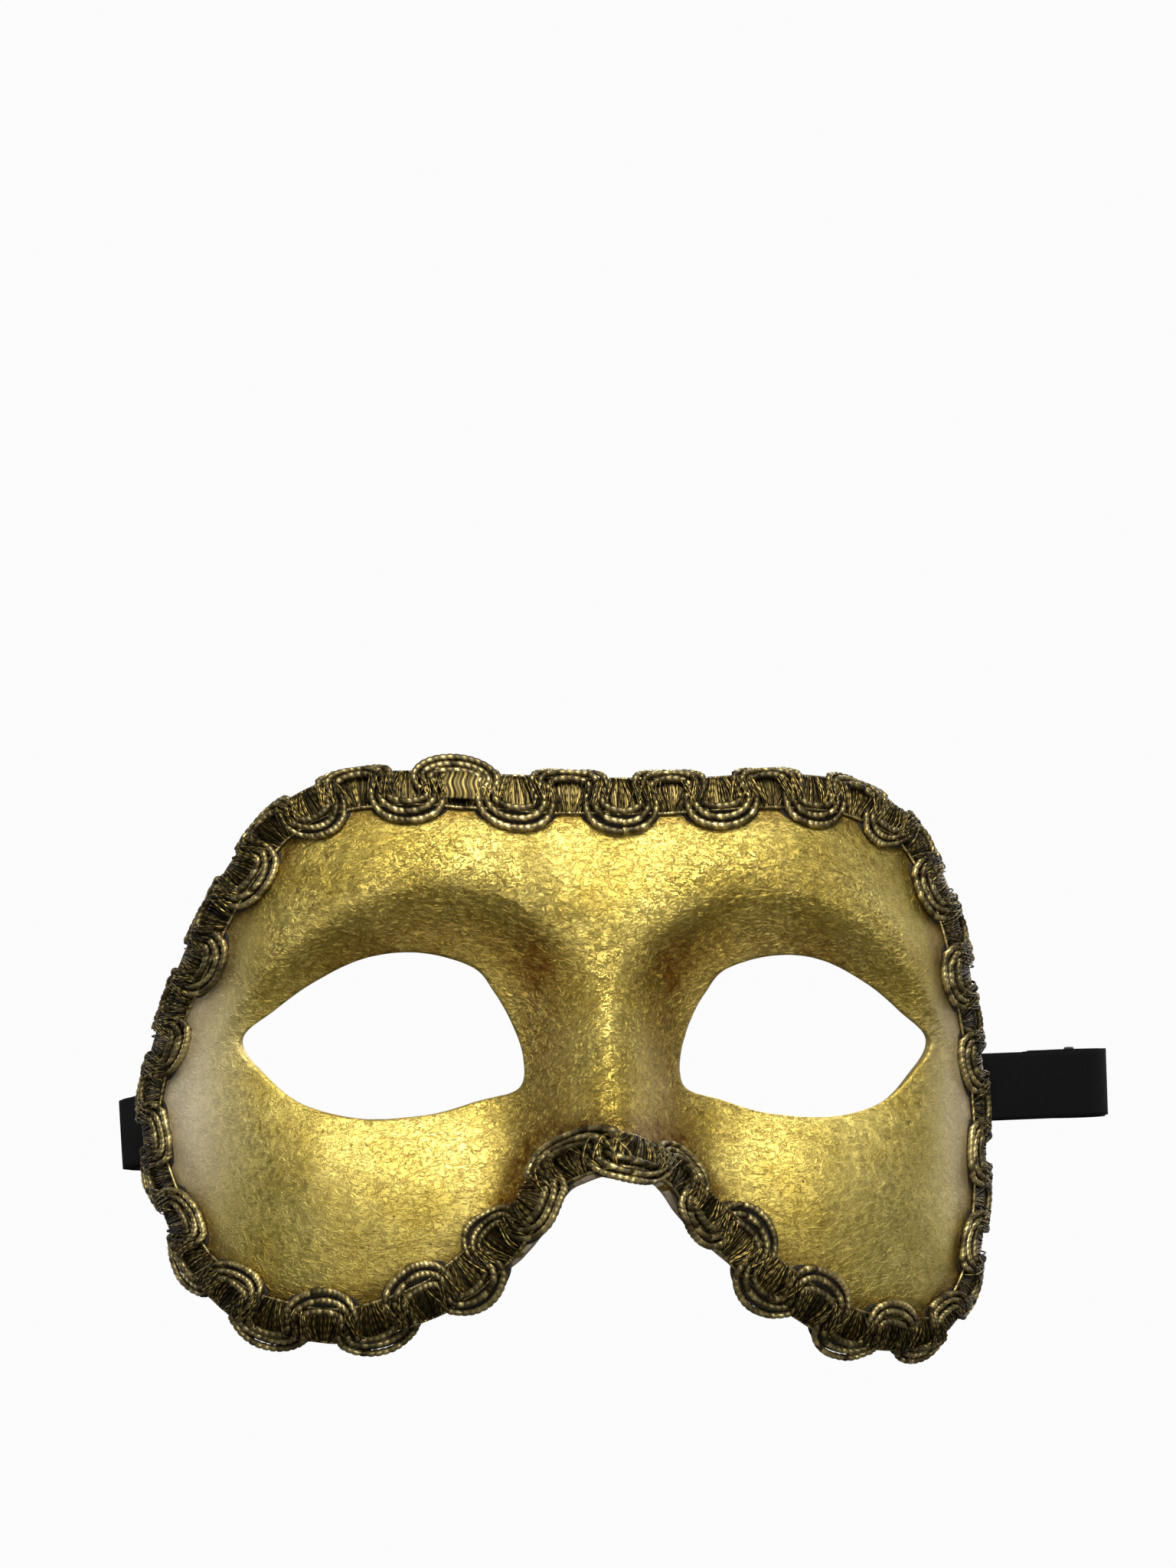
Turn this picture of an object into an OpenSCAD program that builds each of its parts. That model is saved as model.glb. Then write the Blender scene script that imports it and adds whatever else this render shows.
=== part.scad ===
// Venetian half mask: gilded papier-mache shell, scrolled gimp braid round the edge, two ribbon ties.
// Worn upright: +Z up, the face looks towards -Y, +X is the viewer's right.
// The origin is where the inside of the nose bridge rests on the wearer's nose.

/* [Mask] */
// Width of the shell from temple edge to temple edge
mask_w = 156; // [140:1:176]
// Height of the shell from the forehead edge to the lowest cheek edge
mask_h = 103; // [94:1:116]
// How far the temple edges sweep back behind the brow
temple_sweep = 35; // [24:1:40]
// Thickness of the papier-mache
paper_t = 1.8; // [1.2:0.1:2.5]
// Thickness of the gesso ground under the gold leaf
gesso_t = 0.4; // [0.2:0.1:0.8]

/* [Relief] */
// Height of the nose tip in front of the cheeks
nose_h = 23; // [14:1:26]
// Height of the brow ridge over the forehead
brow_h = 4.4; // [1:0.2:5]
// Depth of the eye sockets
socket_d = 5.5; // [2:0.5:7]
// Height of the cheeks
cheek_h = 4.5; // [2:0.5:7]

/* [Braid] */
// Width of the braid's thread band
band_w = 6.6; // [5:0.2:8]
// Thickness of the thread band
band_t = 0.7; // [0.4:0.1:1.2]
// Number of scrolls round the whole edge
scrolls = 27; // [21:2:31]
// Diameter of each foil-wrapped cord
cord_d = 1.2; // [0.8:0.1:1.4]
// Swing of the scrolls to each side of the band
scroll_a = 4.8; // [4:0.2:5.2]

/* [Ties] */
// Width of the ribbon
ribbon_w = 13; // [8:1:16]
// Thickness of the ribbon in the model
ribbon_t = 0.5; // [0.3:0.1:0.8]
// Outer radius of the rolled-up length of each tie
roll_r = 8.2; // [7:0.2:10]
// Radius of the hole through the roll
roll_hole_r = 2.8; // [2.4:0.2:4]
// How far each ribbon is glued in from the temple's edge, across the mask
glued_l = 9; // [6:1:11]

/* [Hidden] */

// The outlines are drawn on a shell 156 mm wide and 103 mm high and scaled from that
sx = mask_w / 156;
sz = mask_h / 103;

// Half outlines from the middle of the forehead round the temple to the middle of the nose arch.
// The mask is shaped by hand, so its two halves differ a little.
right_edge = [[0, 47.6], [20, 48.4], [36, 49.3], [47, 48], [57, 43.5], [63.5, 34.5], [68, 24],
              [72, 10], [75, -2], [76, -17], [75, -31.5], [71, -44], [63.5, -51.6], [54, -52.3],
              [44.5, -50.3], [36, -46.2], [27.2, -40.2], [19.2, -33], [12.8, -26], [8, -20.5],
              [0, -17.7]];
left_edge = [[0, 47.6], [20, 47.9], [36, 48.5], [46.5, 47], [55.6, 42.2], [62.6, 33.7], [69, 22.3],
             [75, 8.8], [78.6, -3.2], [79.4, -14], [75.8, -26], [70.3, -37], [62.5, -44.4],
             [53, -47.5], [43, -48.1], [34, -45.7], [25.5, -41.8], [17.4, -35], [12.2, -27.6],
             [8.4, -21], [0, -17.7]];
// Eye hole from above the inner corner, over the top to the outer tip and back below
eye_edge = [[22.3, 15.2], [31, 17.6], [40, 16.8], [49, 12.7], [56, 7.8], [62, 2.5], [58, -2.8],
            [51, -8], [41, -10.4], [30, -9.7], [21, -7.3], [14.6, -5.2], [13.9, 0], [15.7, 5.8],
            [18.6, 11]];
eye_corner = 11; // number of the eye hole's inner corner in that list

shell_t = paper_t + gesso_t;
rim_steps = 50; // facets along each half's rim
mid_steps = 12; // facets up the middle of the face
ring_steps = 8; // facets from the eye hole to the edge
spline_steps = 6; // points between two outline points
sweep_w = 81; // half width at which the full temple_sweep is reached
probe = 0.2; // step for slopes

function clamp(v) = max(0, min(1, v));
function ease(a, b, v) = let (t = clamp((v - a) / (b - a))) t * t * (3 - 2 * t);
function bell(v, w) = exp(-(v / w) * (v / w));
function unit(v) = v / norm(v);

// ---- The form of the face: how far back the front surface lies at (x, z)
function brow_line(s) = 30 - 0.018 * pow(s - 28, 2);
function between_brows(s, z) = 0.8 * bell(s, 11) * bell(z - 22, z > 22 ? 15 : 30);
function brow(s, z) =
    let (dz = z - brow_line(s),
         arch = bell(dz, dz > 0 ? 11 : 4.6) * (1 - ease(52, 72, s)) * ease(0, 16, s))
    brow_h * (arch + between_brows(s, z));
function socket(s, z) = socket_d * exp(-pow(pow((s - 38) / 28, 2) + pow((z - 4) / 17, 2), 1.5));
function nose(s, z) =
    let (down = max(24 - z, 0), w = 8 + 0.07 * down)
    (nose_h * pow(down / 44, 1.7) + 0.8 * bell(z - 2, 6)) * bell(s, w);
function cheek(s, z) = cheek_h * bell(s - 33, 24) * bell(z + 26, 15);
function forehead(s, z) = 0.007 * pow(max(z - 26, 0), 2) + 0.0014 * s * s * ease(15, 50, z);
function chin_roll(z) = 0.02 * pow(max(-36 - z, 0), 2);
function temple(s) = temple_sweep * pow(s / sweep_w, 5);
function depth(x, z) =
    let (s = abs(x) / sx, v = z / sz)
    temple(s) + forehead(s, v) + chin_roll(v) + socket(s, v) - brow(s, v) - nose(s, v) - cheek(s, v);
// Unit normal that points to the back, and the point a height above or below the surface
function back_normal(x, z) =
    unit([-(depth(x + probe, z) - depth(x - probe, z)), 2 * probe,
          -(depth(x, z + probe) - depth(x, z - probe))]);
function skin_point(x, z, back = 0) = [x, depth(x, z), z] + back * back_normal(x, z);

// The nose rest: the inside of the shell at the nose bridge
seat_z = 8;
seat = skin_point(0, seat_z, shell_t);

// ---- Smooth outlines
function spline_at(a, b, c, d, t) =
    0.5 * (2 * b + (c - a) * t + (2 * a - 5 * b + 4 * c - d) * t * t
           + (3 * b - a - 3 * c + d) * t * t * t);
function flip(p) = [-p[0], p[1]];
// An open half outline meets its mirror image at both ends
function open_spline(p) =
    let (n = len(p) - 1)
    [for (k = [0:n - 1], q = [0:spline_steps - 1])
        spline_at(k == 0 ? flip(p[1]) : p[k - 1], p[k], p[k + 1],
                  k == n - 1 ? flip(p[n - 1]) : p[k + 2], q / spline_steps), p[n]];
function closed_spline(p) =
    let (n = len(p))
    [for (k = [0:n], q = [0:k < n ? spline_steps - 1 : 0])
        spline_at(p[(k + n - 1) % n], p[k % n], p[(k + 1) % n], p[(k + 2) % n], q / spline_steps)];
function scaled(p) = [for (q = p) [q[0] * sx, q[1] * sz]];
// Tables of x and z against the length along the curved surface
function lengths(p, k = 0, total = 0) =
    k == len(p) - 1 ? [total] :
    concat([total], lengths(p, k + 1, total + norm(skin_point(p[k + 1][0], p[k + 1][1])
                                                   - skin_point(p[k][0], p[k][1]))));
function table(p) = let (l = lengths(p)) [for (a = [0, 1]) [for (k = [0:len(p) - 1]) [l[k], p[k][a]]]];
function along(tab, l) = [lookup(l, tab[0]), lookup(l, tab[1])];
function tab_length(tab) = tab[0][len(tab[0]) - 1][0];

right_tab = table(open_spline(scaled(right_edge)));
left_tab = table(open_spline(scaled(left_edge)));
eye_points = closed_spline(scaled(eye_edge));
eye_break = eye_corner * spline_steps;
eye_out_tab = table([for (k = [0:eye_break]) eye_points[k]]);
eye_in_tab = table([for (k = [eye_break:len(eye_points) - 1]) eye_points[k]]);
right_l = tab_length(right_tab);
left_l = tab_length(left_tab);
rim_l = right_l + left_l;

// ---- Shell grid: station i runs round the half, ring j from the eye hole to the edge
stations = rim_steps + mid_steps;
function on_middle(i) = i == 0 || i >= rim_steps;
function eye_at(i) =
    i <= rim_steps ? along(eye_out_tab, tab_length(eye_out_tab) * i / rim_steps)
                   : along(eye_in_tab, tab_length(eye_in_tab) * (i - rim_steps) / mid_steps);
function edge_at(tab, i) =
    i <= rim_steps ? along(tab, tab_length(tab) * i / rim_steps)
                   : let (t = (i - rim_steps) / mid_steps) [0, (1 - t) * along(tab, tab_length(tab))[1]
                                                              + t * along(tab, 0)[1]];
function grid(tab, side) =
    [for (j = [0:ring_steps], i = [0:stations - 1])
        let (t = j / ring_steps, p = (1 - t) * eye_at(i) + t * edge_at(tab, i)) [side * p[0], p[1]]];
half_points = stations * (ring_steps + 1);
flat_points = concat(grid(right_tab, 1), grid(left_tab, -1));
function number(side, layer, i, j) =
    let (k = i % stations, s = j == ring_steps && on_middle(k) ? 0 : side)
    layer * 2 * half_points + s * half_points + j * stations + k;
function turned(f, flip) = flip ? [f[2], f[1], f[0]] : f;
function quad(a, b, c, d, flip) = [turned([a, b, c], flip), turned([a, c, d], flip)];
function sheet_faces(side, layer) =
    [for (j = [0:ring_steps - 1], i = [0:stations - 1])
        each quad(number(side, layer, i, j), number(side, layer, i, j + 1),
                  number(side, layer, i + 1, j + 1), number(side, layer, i + 1, j),
                  side + layer == 1)];
function wall_faces(side) =
    [for (i = [0:stations - 1])
        each quad(number(side, 0, i, 0), number(side, 0, i + 1, 0),
                  number(side, 1, i + 1, 0), number(side, 1, i, 0), side == 1),
     for (i = [0:rim_steps - 1])
        each quad(number(side, 0, i + 1, ring_steps), number(side, 0, i, ring_steps),
                  number(side, 1, i, ring_steps), number(side, 1, i + 1, ring_steps), side == 1)];
module layer_of_shell(front, back) {
    points = [for (h = [front, back], p = flat_points) skin_point(p[0], p[1], h)];
    faces = [for (side = [0, 1])
                each concat(sheet_faces(side, 0), sheet_faces(side, 1), wall_faces(side))];
    polyhedron(points, faces, convexity = 10);
}

// ---- The rim as one closed line: length l runs from the forehead over the right temple, the nose
// arch and the left temple. A braid point lies w in from the edge and h above the gold.
fold_top = 12; // above this height the braid's outer scrolls fold round the edge
fold_low = -14; // below this height they stand straight out past it
function rim_flat(l) =
    let (m = l - rim_l * floor(l / rim_l))
    m <= right_l ? along(right_tab, m) : flip(along(left_tab, rim_l - m));
function rim_inward(l) =
    let (d = unit(rim_flat(l + 1.5) - rim_flat(l - 1.5))) [d[1], -d[0]];
function foreshortening(p, b) =
    let (q = p + 4 * b, slope = (depth(q[0] + probe * b[0], q[1] + probe * b[1])
                                 - depth(q[0] - probe * b[0], q[1] - probe * b[1])) / (2 * probe))
    1 / sqrt(1 + slope * slope);
function past_edge(p, n, inward, a, h, bend) =
    p - h * n - inward * sin(bend * a * 57.3) / bend + n * (1 - cos(bend * a * 57.3)) / bend;
function braid_point(l, w, h) =
    let (p = rim_flat(l), b = rim_inward(l), k = foreshortening(p, b))
    w >= 0 ? skin_point(p[0] + k * w * b[0], p[1] + k * w * b[1], -h)
           : let (e = skin_point(p[0], p[1]), n = back_normal(p[0], p[1]),
                  inward = unit(skin_point(p[0] + b[0], p[1] + b[1]) - e),
                  bend = max(ease(fold_low, fold_top, p[1]) / (shell_t / 2 + h), 0.001))
             past_edge(e, n, inward, -w, h, bend);
// A closed sweep through rings of points
module sweep_closed(rings) {
    n = len(rings);
    m = len(rings[0]);
    polyhedron([for (r = rings) each r],
               [for (k = [0:n - 1], q = [0:m - 1])
                   each quad(k * m + q, k * m + (q + 1) % m, (k + 1) % n * m + (q + 1) % m,
                             (k + 1) % n * m + q, true)],
               convexity = 10);
}

// ---- Braid
glue_gap = 0.15; // film of glue under the braid and the ribbons
band_mid = band_w / 2 - 0.3; // middle of the band, in from the edge
cord_gap = 0.15; // clear space between neighbouring cords
cord_step = cord_d + cord_gap;
cord_sides = 5;
rings_a_scroll = 14;
band_rings_a_scroll = 5;
scroll_l = rim_l / scrolls;
overhang = 2.4; // how far each scroll bulges over its neighbours along the rim
shoulder = 0.2; // rounds the scrolls where they are widest
tip = 0.5; // rounds the scrolls at their tips
fan_out = 0.3; // how much farther apart the cords lie at the tip of a scroll
scroll_in = 0.2; // how far the scrolls sit inwards of the band's middle
// The braid is pushed on or stretched as it is glued: lengths along it, and how far each is moved
laid_on = [[0, 3], [190, -6], [275, 0], [350, 5], [545, 3]];
function laid(l) = l + lookup(l - rim_l * floor(l / rim_l), laid_on);
function scroll_mid(a) =
    [scroll_l * a / 360 + overhang * sin(2 * a) + shoulder * sin(4 * a),
     scroll_a * cos(a) + tip * (cos(3 * a) - cos(a))];
function scroll_side(a) =
    let (d = unit([scroll_l / 6.283 + 2 * overhang * cos(2 * a) + 4 * shoulder * cos(4 * a),
                   (tip - scroll_a) * sin(a) - 3 * tip * sin(3 * a)]))
    [-d[1], d[0]];
function cord_line(a, shift) =
    scroll_mid(a) + shift * (1 + fan_out * pow(cos(a), 2)) * scroll_side(a);

module braid_band() color([0.42, 0.31, 0.13])
    from_seat()
        sweep_closed([for (k = [0:scrolls * band_rings_a_scroll - 1])
            let (l = k * scroll_l / band_rings_a_scroll, low = glue_gap, high = glue_gap + band_t)
            [for (q = [[0.2, low], [0, high], [band_w / 2, high], [band_w, high],
                       [band_w - 0.2, low], [band_w / 2, low]])
                braid_point(l, q[0] + band_mid - band_w / 2, q[1])]]);

module braid_cord(shift) {
    h = 2 * glue_gap + band_t + cord_d / 2;
    from_seat()
        sweep_closed([for (k = [0:scrolls * rings_a_scroll - 1])
            let (a = 360 * k / rings_a_scroll, c = cord_line(a, shift), s = scroll_side(a))
            [for (q = [0:cord_sides - 1])
                let (r = cord_d / 2, v = 360 * q / cord_sides)
                braid_point(laid(c[0] + s[0] * r * cos(v)),
                            band_mid + scroll_in + c[1] + s[1] * r * cos(v),
                            h + r * sin(v))]]);
}
module braid_cord_outer() color([0.78, 0.72, 0.42]) braid_cord(cord_step);
module braid_cord_middle() color([0.66, 0.58, 0.3]) braid_cord(0);
module braid_cord_inner() color([0.78, 0.72, 0.42]) braid_cord(-cord_step);

// The two ends of the braid meet on the forehead, where one is folded over the other
fold_at = -27; // length along the rim from the middle of the forehead
fold_l = 7;
module braid_end_fold() color([0.5, 0.4, 0.2])
    from_seat()
        patch([for (w = [0:1:5]) [for (l = [0:1:fold_l]) [fold_at + l, w]]],
              2 * glue_gap + band_t + cord_d + 0.2, 2 * glue_gap + band_t + cord_d + 0.8);
// A slab that follows the face between two heights, over a grid of braid places
module patch(places, low, high) {
    n = len(places);
    m = len(places[0]);
    slab(n, m, [for (h = [low, high], row = places, q = row) braid_point(q[0], q[1], h)]);
}
// A slab of n by m points and as many above them
module slab(n, m, points) {
    function at(k, q, top) = top * n * m + k * m + q;
    polyhedron(points,
        concat([for (k = [0:n - 2], q = [0:m - 2], top = [0, 1])
                   each quad(at(k, q, top), at(k, q + 1, top), at(k + 1, q + 1, top),
                             at(k + 1, q, top), top == 1)],
               [for (k = [0:n - 2], e = [0, 1])
                   each quad(at(k, e * (m - 1), 0), at(k + 1, e * (m - 1), 0),
                             at(k + 1, e * (m - 1), 1), at(k, e * (m - 1), 1), e == 1)],
               [for (q = [0:m - 2], e = [0, 1])
                   each quad(at(e * (n - 1), q, 0), at(e * (n - 1), q, 1),
                             at(e * (n - 1), q + 1, 1), at(e * (n - 1), q + 1, 0), e == 1)]),
        convexity = 4);
}

module from_seat() translate(-seat) children();

module paper_shell() color([0.83, 0.8, 0.74]) from_seat() layer_of_shell(gesso_t, shell_t);
module gilded_gesso() color([0.8, 0.67, 0.3]) from_seat() layer_of_shell(0, gesso_t);

// ---- Ties: each ribbon is glued inside the temple, leaves it sideways and is rolled up.
// The first value of each pair is for the left tie, the second for the right one.
tie_z = [-13, -6]; // height of the ribbon's middle where it passes the edge
tie_edge = [81.5, 77]; // how far out the glued ribbon reaches
run = [11.4, 22]; // straight length from the edge to the axis of the roll
swing = [60, 0]; // how far back the loose ribbon lies, from straight out sideways
drop = [8, -2]; // how far the loose ribbon hangs below level
hinge_gap = 0.4; // clear space between the glued and the loose ribbon
ribbon_gap = 0.25; // glue under the ribbon, which evens out the shell's facets
function hinge_at(k) =
    skin_point(tie_edge[k], tie_z[k], shell_t + ribbon_gap + ribbon_t / 2) + [0.4, 0.4, 0];

module tie_place(k) {
    mirror([1 - k, 0, 0])
        translate([hinge_at(k)[0], hinge_at(k)[1], tie_z[k]])
            rotate([0, 0, swing[k]])
                rotate([0, drop[k], 0])
                    children();
}
module roll_place(k) {
    tie_place(k)
        translate([run[k], roll_r - ribbon_t / 2, 0])
            children();
}
// The glued end follows the inside of the temple from its edge inwards
module glued(k, out, low, high, extra) {
    steps_x = 5;
    steps_z = 4;
    w = ribbon_w / 2 + extra;
    slab(steps_x, steps_z,
         [for (h = [low, high], i = [0:steps_x - 1], q = [0:steps_z - 1])
             let (x = out - glued_l * i / (steps_x - 1),
                  z = tie_z[k] - w + 2 * w * q / (steps_z - 1))
             skin_point(x, z, shell_t + h)]);
}
module tie_root(k) color([0.05, 0.05, 0.05]) from_seat() mirror([1 - k, 0, 0])
    glued(k, tie_edge[k], ribbon_gap, ribbon_gap + ribbon_t, 0);
module tie_patch(k) color([0.8, 0.77, 0.7]) from_seat() mirror([1 - k, 0, 0])
    glued(k, tie_edge[k] - 4.5, 2 * ribbon_gap + ribbon_t, 2 * ribbon_gap + ribbon_t + 0.4, 2);
module tie_ribbon(k) color([0.06, 0.06, 0.06]) from_seat() tie_place(k)
    translate([hinge_gap, -ribbon_t / 2, -ribbon_w / 2])
        cube([run[k] - hinge_gap - 1, ribbon_t, ribbon_w]);
module tie_roll(k) color([0.07, 0.07, 0.07]) from_seat() roll_place(k)
    difference() {
        cylinder(r = roll_r, h = ribbon_w, center = true, $fn = 64);
        cylinder(r = roll_hole_r, h = ribbon_w + 2, center = true, $fn = 48);
    }
// A loop of thread goes through the hole and back over the outside, away from the incoming ribbon
thread_t = 0.5;
module tie_thread(k) color([0.1, 0.1, 0.1]) from_seat() roll_place(k) rotate([0, 0, 60])
    difference() {
        thread_loop(roll_hole_r - 0.2 - thread_t, roll_r + 0.2 + thread_t,
                    ribbon_w + 0.4 + 2 * thread_t, 1.2);
        thread_loop(roll_hole_r - 0.2, roll_r + 0.2, ribbon_w + 0.4, 2);
    }
module thread_loop(inner, outer, high, wide)
    translate([inner, -wide / 2, -high / 2])
        cube([outer - inner, wide, high]);
module tie_left_root() tie_root(0);
module tie_right_root() tie_root(1);
module tie_left_patch() tie_patch(0);
module tie_right_patch() tie_patch(1);
module tie_left_ribbon() tie_ribbon(0);
module tie_right_ribbon() tie_ribbon(1);
module tie_left_roll() tie_roll(0);
module tie_right_roll() tie_roll(1);
module tie_left_thread() tie_thread(0);
module tie_right_thread() tie_thread(1);

paper_shell();
gilded_gesso();
braid_band();
braid_cord_outer();
braid_cord_middle();
braid_cord_inner();
braid_end_fold();
tie_left_root();
tie_right_root();
tie_left_patch();
tie_right_patch();
tie_left_ribbon();
tie_right_ribbon();
tie_left_roll();
tie_right_roll();
tie_left_thread();
tie_right_thread();
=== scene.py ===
# %% [markdown]
# # A gilded venetian half mask
#
# The real mask is papier-mache pressed into a plaster mould, coated with gesso, covered with gold
# leaf and bound round its edge with a woven metallic braid. Two black ribbons tie it on.
# The imported model gives the frame: every piece below is made in metres in the same place, all but
# the ribbons ride on one of its bodies, and each takes over from the plain CAD node it stands for.
# Sizes are in millimetres.

# %% Load the imported model
import math
import bmesh
import bpy
import numpy as np
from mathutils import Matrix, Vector, noise


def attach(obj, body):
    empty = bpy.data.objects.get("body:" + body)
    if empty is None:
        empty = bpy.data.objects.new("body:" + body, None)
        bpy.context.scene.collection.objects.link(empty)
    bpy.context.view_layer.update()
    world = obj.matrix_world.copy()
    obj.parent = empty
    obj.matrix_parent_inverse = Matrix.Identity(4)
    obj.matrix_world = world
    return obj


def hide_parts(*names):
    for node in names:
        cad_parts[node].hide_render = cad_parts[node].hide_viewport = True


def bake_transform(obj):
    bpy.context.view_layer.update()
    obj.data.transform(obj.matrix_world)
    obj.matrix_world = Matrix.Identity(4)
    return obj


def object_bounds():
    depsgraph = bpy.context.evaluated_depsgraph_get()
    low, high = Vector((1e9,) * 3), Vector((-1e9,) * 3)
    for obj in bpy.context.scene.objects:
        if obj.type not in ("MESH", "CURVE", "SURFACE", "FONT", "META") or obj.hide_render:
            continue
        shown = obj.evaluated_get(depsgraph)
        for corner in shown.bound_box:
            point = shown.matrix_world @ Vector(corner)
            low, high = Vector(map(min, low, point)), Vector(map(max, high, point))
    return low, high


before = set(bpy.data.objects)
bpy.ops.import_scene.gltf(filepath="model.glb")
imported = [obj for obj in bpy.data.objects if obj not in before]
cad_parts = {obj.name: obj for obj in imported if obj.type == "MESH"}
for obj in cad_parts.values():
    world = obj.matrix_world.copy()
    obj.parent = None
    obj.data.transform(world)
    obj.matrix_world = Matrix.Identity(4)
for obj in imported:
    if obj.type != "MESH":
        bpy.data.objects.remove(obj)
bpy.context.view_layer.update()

# %% [markdown]
# ## The form of the face
#
# A mould maker thinks of a face as a few swellings and hollows laid over a curved sheet. So does
# this script: the sheet sweeps back to the temples, and brow, sockets, nose and cheeks are smooth
# bells added to it. It could be sculpted by hand instead, but the same rules shaped the CAD solids,
# so the fine meshes lie on the plain ones.

# %% Swellings and hollows, in millimetres
TEMPLE_SWEEP, SWEEP_W = 35.0, 81.0
NOSE_H, BROW_H, SOCKET_D, CHEEK_H = 23.0, 4.4, 5.5, 4.5
PAPER_T, GESSO_T = 1.8, 0.4
SHELL_T = PAPER_T + GESSO_T
SEAT_Z = 8.0
PROBE = 0.2


def ease(low, high, v):
    t = np.clip((v - low) / (high - low), 0, 1)
    return t * t * (3 - 2 * t)


def bell(v, width):
    return np.exp(-(v / width) ** 2)


def brow(s, z):
    dz = z - (30 - 0.018 * (s - 28) ** 2)
    arch = np.where(dz > 0, bell(dz, 11), bell(dz, 4.6)) * (1 - ease(52, 72, s)) * ease(0, 16, s)
    between = bell(s, 11) * bell(z - 22, np.where(z > 22, 15, 30))
    return BROW_H * (arch + 0.8 * between)


def socket(s, z):
    return SOCKET_D * np.exp(-(((s - 38) / 28) ** 2 + ((z - 4) / 17) ** 2) ** 1.5)


def nose(s, z):
    down = np.maximum(24 - z, 0)
    return (NOSE_H * (down / 44) ** 1.7 + 0.8 * bell(z - 2, 6)) * bell(s, 8 + 0.07 * down)


def depth(x, z):
    s = np.abs(x)
    temple = TEMPLE_SWEEP * (s / SWEEP_W) ** 5
    forehead = 0.007 * np.maximum(z - 26, 0) ** 2 + 0.0014 * s * s * ease(15, 50, z)
    chin_roll = 0.02 * np.maximum(-36 - z, 0) ** 2
    cheek = CHEEK_H * bell(s - 33, 24) * bell(z + 26, 15)
    return temple + forehead + chin_roll + socket(s, z) - brow(s, z) - nose(s, z) - cheek


def back_normal(x, z):
    n = np.stack([-(depth(x + PROBE, z) - depth(x - PROBE, z)), np.full_like(x, 2 * PROBE),
                  -(depth(x, z + PROBE) - depth(x, z - PROBE))], axis=-1)
    return n / np.linalg.norm(n, axis=-1, keepdims=True)


def skin_point(x, z, back=0.0):
    """Points on the face, or the given distance behind its front surface."""
    x, z = np.asarray(x, float), np.asarray(z, float)
    back = np.broadcast_to(back, x.shape)[..., None]
    return np.stack([x, depth(x, z), z], axis=-1) + back * back_normal(x, z)


SEAT = skin_point(np.zeros(1), np.full(1, SEAT_Z), SHELL_T)[0]
print("nose rest, from the drawing's own zero:", SEAT.round(2), "mm")

# %% [markdown]
# ## Outlines
#
# The edge and the eye holes are cut by eye with a knife, so the two halves differ a little. Each
# outline is a smooth curve through a few points. Lengths are measured along the curved surface,
# because the braid is laid along it like a tape. A Bezier curve would do too, but a curve through
# its own points is easier to read off a paper pattern.

# %% Outline curves
RIGHT_EDGE = [[0, 47.6], [20, 48.4], [36, 49.3], [47, 48], [57, 43.5], [63.5, 34.5], [68, 24],
              [72, 10], [75, -2], [76, -17], [75, -31.5], [71, -44], [63.5, -51.6], [54, -52.3],
              [44.5, -50.3], [36, -46.2], [27.2, -40.2], [19.2, -33], [12.8, -26], [8, -20.5],
              [0, -17.7]]
LEFT_EDGE = [[0, 47.6], [20, 47.9], [36, 48.5], [46.5, 47], [55.6, 42.2], [62.6, 33.7], [69, 22.3],
             [75, 8.8], [78.6, -3.2], [79.4, -14], [75.8, -26], [70.3, -37], [62.5, -44.4],
             [53, -47.5], [43, -48.1], [34, -45.7], [25.5, -41.8], [17.4, -35], [12.2, -27.6],
             [8.4, -21], [0, -17.7]]
EYE_EDGE = [[22.3, 15.2], [31, 17.6], [40, 16.8], [49, 12.7], [56, 7.8], [62, 2.5], [58, -2.8],
            [51, -8], [41, -10.4], [30, -9.7], [21, -7.3], [14.6, -5.2], [13.9, 0], [15.7, 5.8],
            [18.6, 11]]
EYE_CORNER = 11
SPLINE_STEPS = 24
MIRROR = np.array([-1.0, 1.0])


def spline(points):
    """A smooth curve through points, whose first and last only steer it."""
    p = np.asarray(points, float)
    t = (np.arange(SPLINE_STEPS) / SPLINE_STEPS)[:, None]
    parts = [0.5 * (2 * b + (c - a) * t + (2 * a - 5 * b + 4 * c - d) * t ** 2
                    + (3 * b - a - 3 * c + d) * t ** 3)
             for a, b, c, d in zip(p, p[1:], p[2:], p[3:])]
    return np.concatenate(parts + [p[-2:-1]])


class Line:
    """A flat curve that is read by its length along the face."""

    def __init__(self, flat):
        steps = np.linalg.norm(np.diff(skin_point(flat[:, 0], flat[:, 1]), axis=0), axis=1)
        self.flat, self.at = flat, np.concatenate([[0], np.cumsum(steps)])
        self.length = self.at[-1]

    def __call__(self, l):
        return np.stack([np.interp(l, self.at, self.flat[:, k]) for k in (0, 1)], axis=-1)


def half_edge(points):
    p = np.asarray(points, float)
    return Line(spline([p[1] * MIRROR, *p, p[-2] * MIRROR]))


right_line, left_line = half_edge(RIGHT_EDGE), half_edge(LEFT_EDGE)
eye_curve = spline([EYE_EDGE[-1], *EYE_EDGE, EYE_EDGE[0], EYE_EDGE[1]])
eye_out = Line(eye_curve[:EYE_CORNER * SPLINE_STEPS + 1])
eye_in = Line(eye_curve[EYE_CORNER * SPLINE_STEPS:])
RIM_L = right_line.length + left_line.length
print(f"edge {RIM_L:.0f} mm round, eye hole {eye_out.length + eye_in.length:.0f} mm round")

# %% [markdown]
# ## The camera
#
# The mask is seen from close by at its own height, a little from its right-hand side, with a short
# portrait lens. The lens shift keeps the camera level while the mask sits low in the frame.

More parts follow.
